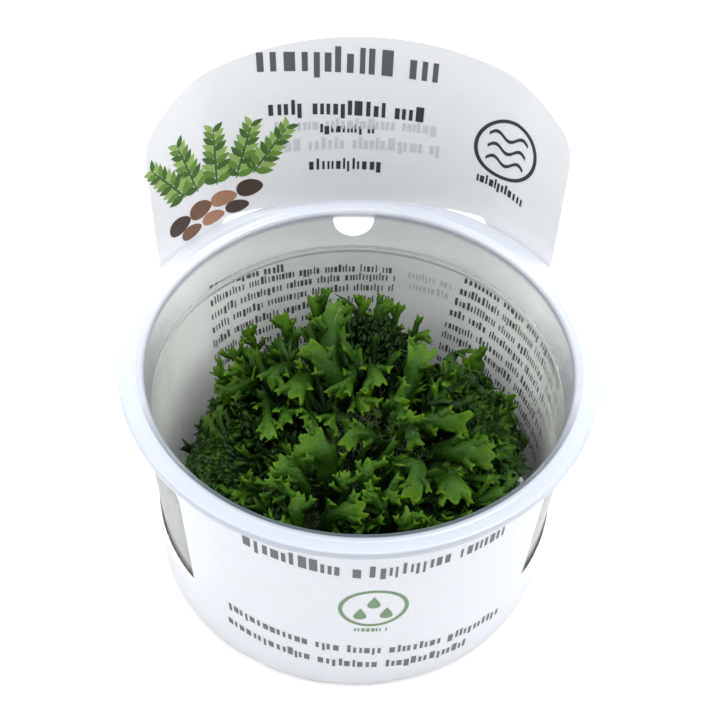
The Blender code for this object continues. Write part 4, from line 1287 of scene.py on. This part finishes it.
def build_heart():
    """The heart inside the mass, held near black as painted shade of its depths."""
    shape = bmesh.new()
    bmesh.ops.create_uvsphere(shape, u_segments=144, v_segments=72, radius=1.0)
    growth_and_shade = shape.verts.layers.float.new("growth_and_shade")
    for vert in shape.verts:
        turned = vert.co.copy()
        spot = Vector((turned.x, turned.y, 0.0)) * 0.9 * MASS_RADIUS
        rise = max(turned.z, 0.0)
        height = mass_height(spot.x, spot.y) * HEART_SHARE
        spot.z = FOOT_HEIGHT + height * min(rise * 3.0, 1.0) ** 0.5
        outward = turned.normalized() * smooth_step(0.0, 0.4, rise)
        spot += outward * noise.noise(spot / HEART_LUMP) * HEART_RELIEF
        vert.co = spot
        vert[growth_and_shade] = HEART_SHADE
    bmesh.ops.remove_doubles(shape, verts=shape.verts, dist=WELD)
    bmesh.ops.recalc_face_normals(shape, faces=shape.faces)
    mesh = close_mesh("mass_heart", shape)
    mesh.shade_smooth()
    add_piece("mass_heart", mesh, (heart_shade_green,), ("liverwort_cushion",))


def shoot_template(ears, columns=SHOOT_COLUMNS, stations=SHOOT_STATIONS):
    """The flat slab of one shoot as arrays: across, along, through, its ears' reach, and its faces."""
    slab = unit_ribbon(columns, stations)
    places = numpy.array([vert.co[:] for vert in slab.verts])
    faces = numpy.array([[vert.index for vert in face.verts] for face in slab.faces])
    slab.free()
    across, depth = places[:, 0], places[:, 2]
    along = (places[:, 1] + 1.0) / 2.0
    ear = numpy.array([ear_reach(value, ears) for value in across])
    return across, along, depth, ear, faces


def lengths_of(vectors):
    """The length of each of many vectors, kept as a column."""
    return numpy.linalg.norm(vectors, axis=-1, keepdims=True)


def pick_places(count, patch, dice):
    """Chooses where shoots end: even over the mass, or gathered in a patch."""
    chosen = []
    while len(chosen) < count:
        if patch:
            across, along, spread = patch
            spot = Vector((dice.gauss(across, spread) * MM, dice.gauss(along, spread) * MM, 0.0))
        else:
            turn = dice.uniform(0.0, 2.0 * math.pi)
            slant = dice.random()
            share = math.sin(slant * math.pi / 2.0) ** 0.7
            if dice.random() > share:
                continue
            spot = Vector((math.sin(turn), math.cos(turn), 0.0)) * share * MASS_RADIUS
        if spot.length < MASS_RADIUS:
            chosen.append(spot)
    return chosen


def plan_carpet(count, twins, patch, levels, spans, widths, forks, ages_and_shade, ruffle, dice):
    """Chooses each shoot's root, bend, tip and outward direction, and the numbers that shape it."""
    places, numbers = [], []
    for spot in pick_places(count, patch, dice):
        height = mass_height(spot.x, spot.y) * dice.uniform(*levels)
        tip = Vector((spot.x, spot.y, FOOT_HEIGHT + height))
        out = Vector((spot.x, spot.y, 0.5 * MASS_RADIUS)).normalized()
        loose = Vector((dice.gauss(0, 1), dice.gauss(0, 1), dice.gauss(0, 0.5)))
        lean = (out + loose * ruffle).normalized()
        span = dice.uniform(*spans) * MM
        bend = tip - lean * span * 0.6
        root = bend - out * span * 0.5
        stray = Vector((dice.gauss(0, 1), dice.gauss(0, 1), 0.0))
        aside = lean.cross(out + stray * 0.7).normalized()
        for twin in range(twins):
            spread = aside * (0.0, 1.0, -1.0)[twin] * dice.uniform(0.8, 1.3)
            end = bend + (lean + spread).normalized() * span * dice.uniform(0.5, 0.68)
            places.append((root[:], bend[:], end[:] if twin else tip[:], out[:]))
            numbers.append(
                (
                    dice.uniform(*widths) * MM,
                    dice.uniform(*ages_and_shade),
                    dice.uniform(*SHOOT_ROLLS),
                    dice.gauss(0.0, SHOOT_TWIST),
                    dice.uniform(*forks),
                    dice.uniform(*SHOOT_NOTCH_DEPTHS),
                    dice.random(),
                )
            )
    return places, numbers


def add_growth(name, spot, faces, green, finish):
    """Joins many bent slabs into one piece of the mass. Spot and green have a row for each slab."""
    offsets = numpy.arange(len(spot))[:, None, None] * spot.shape[1]
    corners = (faces[None] + offsets).reshape(-1, 4).tolist()
    mesh = bpy.data.meshes.new(name)
    mesh.from_pydata(spot.reshape(-1, 3).tolist(), [], corners)
    growth_and_shade = mesh.attributes.new("growth_and_shade", "FLOAT", "POINT")
    growth_and_shade.data.foreach_set("value", numpy.clip(green, 0.0, 1.0).astype(numpy.float32).ravel())
    mesh.shade_smooth()
    add_piece(name, mesh, (finish,), ("liverwort_cushion",))


def build_carpet(name, count, twins, patch, levels, spans, widths, ears, forks, ages_and_shade, ruffle, seed):
    """One carpet of shoots, each bent out of the mass towards its own place on the surface."""
    dice = random.Random(seed)
    places, numbers = plan_carpet(count, twins, patch, levels, spans, widths, forks, ages_and_shade, ruffle, dice)
    root, bend, tip, out = (numpy.array(places)[:, part][:, None, :] for part in range(4))
    width, age, roll, twist, fork, bite, beat = (column[:, None] for column in numpy.array(numbers).T)
    across, along, depth, ear, faces = shoot_template(ears)

    share = (along * (1.0 - fork * (1.0 - ear) * along**3))[..., None]
    spot = root * (1 - share) ** 2 + bend * 2 * share * (1 - share) + tip * share**2
    ahead = (bend - root) * (1 - share) + (tip - bend) * share
    ahead /= lengths_of(ahead)
    side = numpy.cross(ahead, out + numpy.array(FACING) * 0.8)
    side /= lengths_of(side) + 1e-9
    face = numpy.cross(side, ahead)
    cosine, sine = numpy.cos(twist)[..., None], numpy.sin(twist)[..., None]
    side, face = side * cosine + face * sine, face * cosine - side * sine

    notch = numpy.abs(numpy.sin(math.pi * (2.6 * along + beat + 0.4 * (across > 0.0)))) ** 0.8
    flare = (0.58 + 0.1 * along + 0.36 * along**3) * (1.0 - bite * notch * along)
    half = width / 2.0 * flare
    roll = roll * (1.0 - 0.5 * along**3)
    lateral = half * numpy.sin(roll * across) / roll
    sink = half * (1.0 - numpy.cos(roll * across)) / roll
    thick = SHOOT_THICKNESS + (SHOOT_EDGE_THICKNESS - SHOOT_THICKNESS) * numpy.abs(across) ** 1.5
    thick = thick * (1.0 - SHOOT_THINNING * along)
    through = depth * thick - sink
    spot = spot + side * lateral[..., None] + face * through[..., None]
    radius = lengths_of(spot[..., :2])
    spot[..., :2] *= numpy.minimum(MASS_LIMIT / numpy.maximum(radius, 1e-6), 1.0)
    spot[..., 2] = numpy.maximum(spot[..., 2], FLOOR + 0.2 * MM)
    # The tone: dark at each shoot's foot and through the deep carpets, painted shade of the mass; lighter
    # at the edge, a painted glow of light through the thin blade.
    green = age * (0.2 + 0.8 * along**1.2) + 0.05 * numpy.abs(across) ** 3

    add_growth(name, spot, faces, green, mass_green)


def rhizoid_finish():
    """Root hairs: pale and glassy, browner here and there."""
    made, nodes, links, shader = start_material("rhizoids")
    age = add_share(nodes, links, add_noise(nodes, links, RHIZOID_PATCH), (0.4, 0.7))
    links.new(add_tint(nodes, links, OLD_HAIR, NEW_HAIR, age), shader.inputs["Base Color"])
    shader.inputs["Roughness"].default_value = RHIZOID_ROUGHNESS
    return made


def build_rhizoids():
    """The root hairs, each a bowed thread of square section, in tufts where the undersides show."""
    dice = random.Random(31)
    hairs = []
    for across, along, height, spread, count in RHIZOID_TUFTS:
        for _ in range(count):
            start = (dice.gauss(across, spread), dice.gauss(along, spread), dice.gauss(height, 0.8))
            lean = Vector((dice.gauss(0, 1), dice.gauss(0, 1), dice.gauss(0, 0.35))).normalized()
            bow = Vector((dice.gauss(0, 1), dice.gauss(0, 1), dice.gauss(0, 1))) * 0.5
            side = lean.orthogonal().normalized()
            reach = lean * dice.uniform(*RHIZOID_LENGTHS)
            hairs.append((start, reach[:], bow[:], side[:], lean.cross(side)[:]))
    start, reach, bow, side, face = (numpy.array(hairs)[:, part][:, None, :] for part in range(5))
    across, along, depth, _, faces = shoot_template(2, 1, 5)
    across, along, depth = (values[:, None] for values in (across, along, depth))
    thread = side * across * RHIZOID_RADIUS + face * depth * 2.0 * RHIZOID_RADIUS
    spot = (start + reach * along + bow * 4.0 * along * (1.0 - along)) * MM + thread
    add_growth("mass_rhizoids", spot, faces, numpy.zeros(spot.shape[:2]), rhizoid_finish())


heart_shade_green = liverwort("liverwort_heart_shade", 0.04)
mass_green = liverwort("liverwort_mass", 0.07)
build_heart()
for carpet in CARPETS:
    build_carpet(*carpet)
build_rhizoids()


# The studio is a plain pale floor, a white surround and soft lamps. The camera looks down into the tub.
CAMERA_PLACE = (-12.513 * MM, -204.579 * MM, 283.883 * MM)
CAMERA_TURN = (42.124, -1.908, -1.904)
CAMERA_LENS = 72.5
CAMERA_SHIFT = (-0.01186, 0.00106)
SENSOR_WIDTH = 36.0
FLOOR_HALF = 1.6
FLOOR_COLOUR = (0.93, 0.935, 0.94)
SURROUND = (1.0, 1.0, 1.0)
SURROUND_STRENGTH = 0.5
# A lamp: its name, place, size in metres and power in watts. Each aims at the middle of the plant.
LAMPS = (
    ("lamp_left", (-0.5, -0.05, 0.55), 0.5, 3.0),
    ("lamp_right", (0.5, -0.05, 0.55), 0.5, 3.0),
    ("lamp_top", (0.0, 0.0, 0.8), 0.6, 3.4),
    ("lamp_front", (0.05, -0.45, 0.7), 0.5, 0.6),
    ("lamp_key", (0.22, 0.1, 0.7), 0.09, 0.9),
)
AIM = Vector((0.0, 0.0, 35.0 * MM))


def build_floor():
    """The sheet that the tub stands on."""
    shape = bmesh.new()
    bmesh.ops.create_grid(shape, x_segments=1, y_segments=1, size=FLOOR_HALF)
    mesh = close_mesh("studio_floor", shape)
    made, nodes, links, shader = start_material("floor_paper")
    grain = add_noise(nodes, links, 40.0 * MM, 2.0, 0.5)
    shader.inputs["Base Color"].default_value = (*FLOOR_COLOUR, 1.0)
    links.new(add_range(nodes, links, grain, (0.3, 0.7), (0.85, 0.95)), shader.inputs["Roughness"])
    mesh.materials.append(made)
    floor = add_object("studio_floor", mesh)


def add_lamp(name, place, size, power):
    """A soft square lamp aimed at the plant."""
    light = bpy.data.lights.new(name, "AREA")
    light.shape = "SQUARE"
    light.size = size
    light.energy = power
    lamp = add_object(name, light)
    lamp.location = place
    lamp.rotation_euler = (AIM - Vector(place)).to_track_quat("-Z", "Y").to_euler()


def set_camera():
    """The camera that sees the tub as the photograph does."""
    lens = bpy.data.cameras.new("camera")
    lens.lens = CAMERA_LENS
    lens.sensor_width = SENSOR_WIDTH
    lens.shift_x, lens.shift_y = CAMERA_SHIFT
    lens.clip_start = 0.01
    camera = add_object("camera", lens)
    camera.location = CAMERA_PLACE
    camera.rotation_euler = [math.radians(turn) for turn in CAMERA_TURN]
    bpy.context.scene.camera = camera


build_floor()
for lamp in LAMPS:
    add_lamp(*lamp)
world = bpy.data.worlds.new("studio_surround")
world.use_nodes = True
surround = world.node_tree.nodes["Background"]
surround.inputs["Color"].default_value = (*SURROUND, 1.0)
surround.inputs["Strength"].default_value = SURROUND_STRENGTH
bpy.context.scene.world = world
bpy.context.scene.view_settings.view_transform = "Standard"
set_camera()
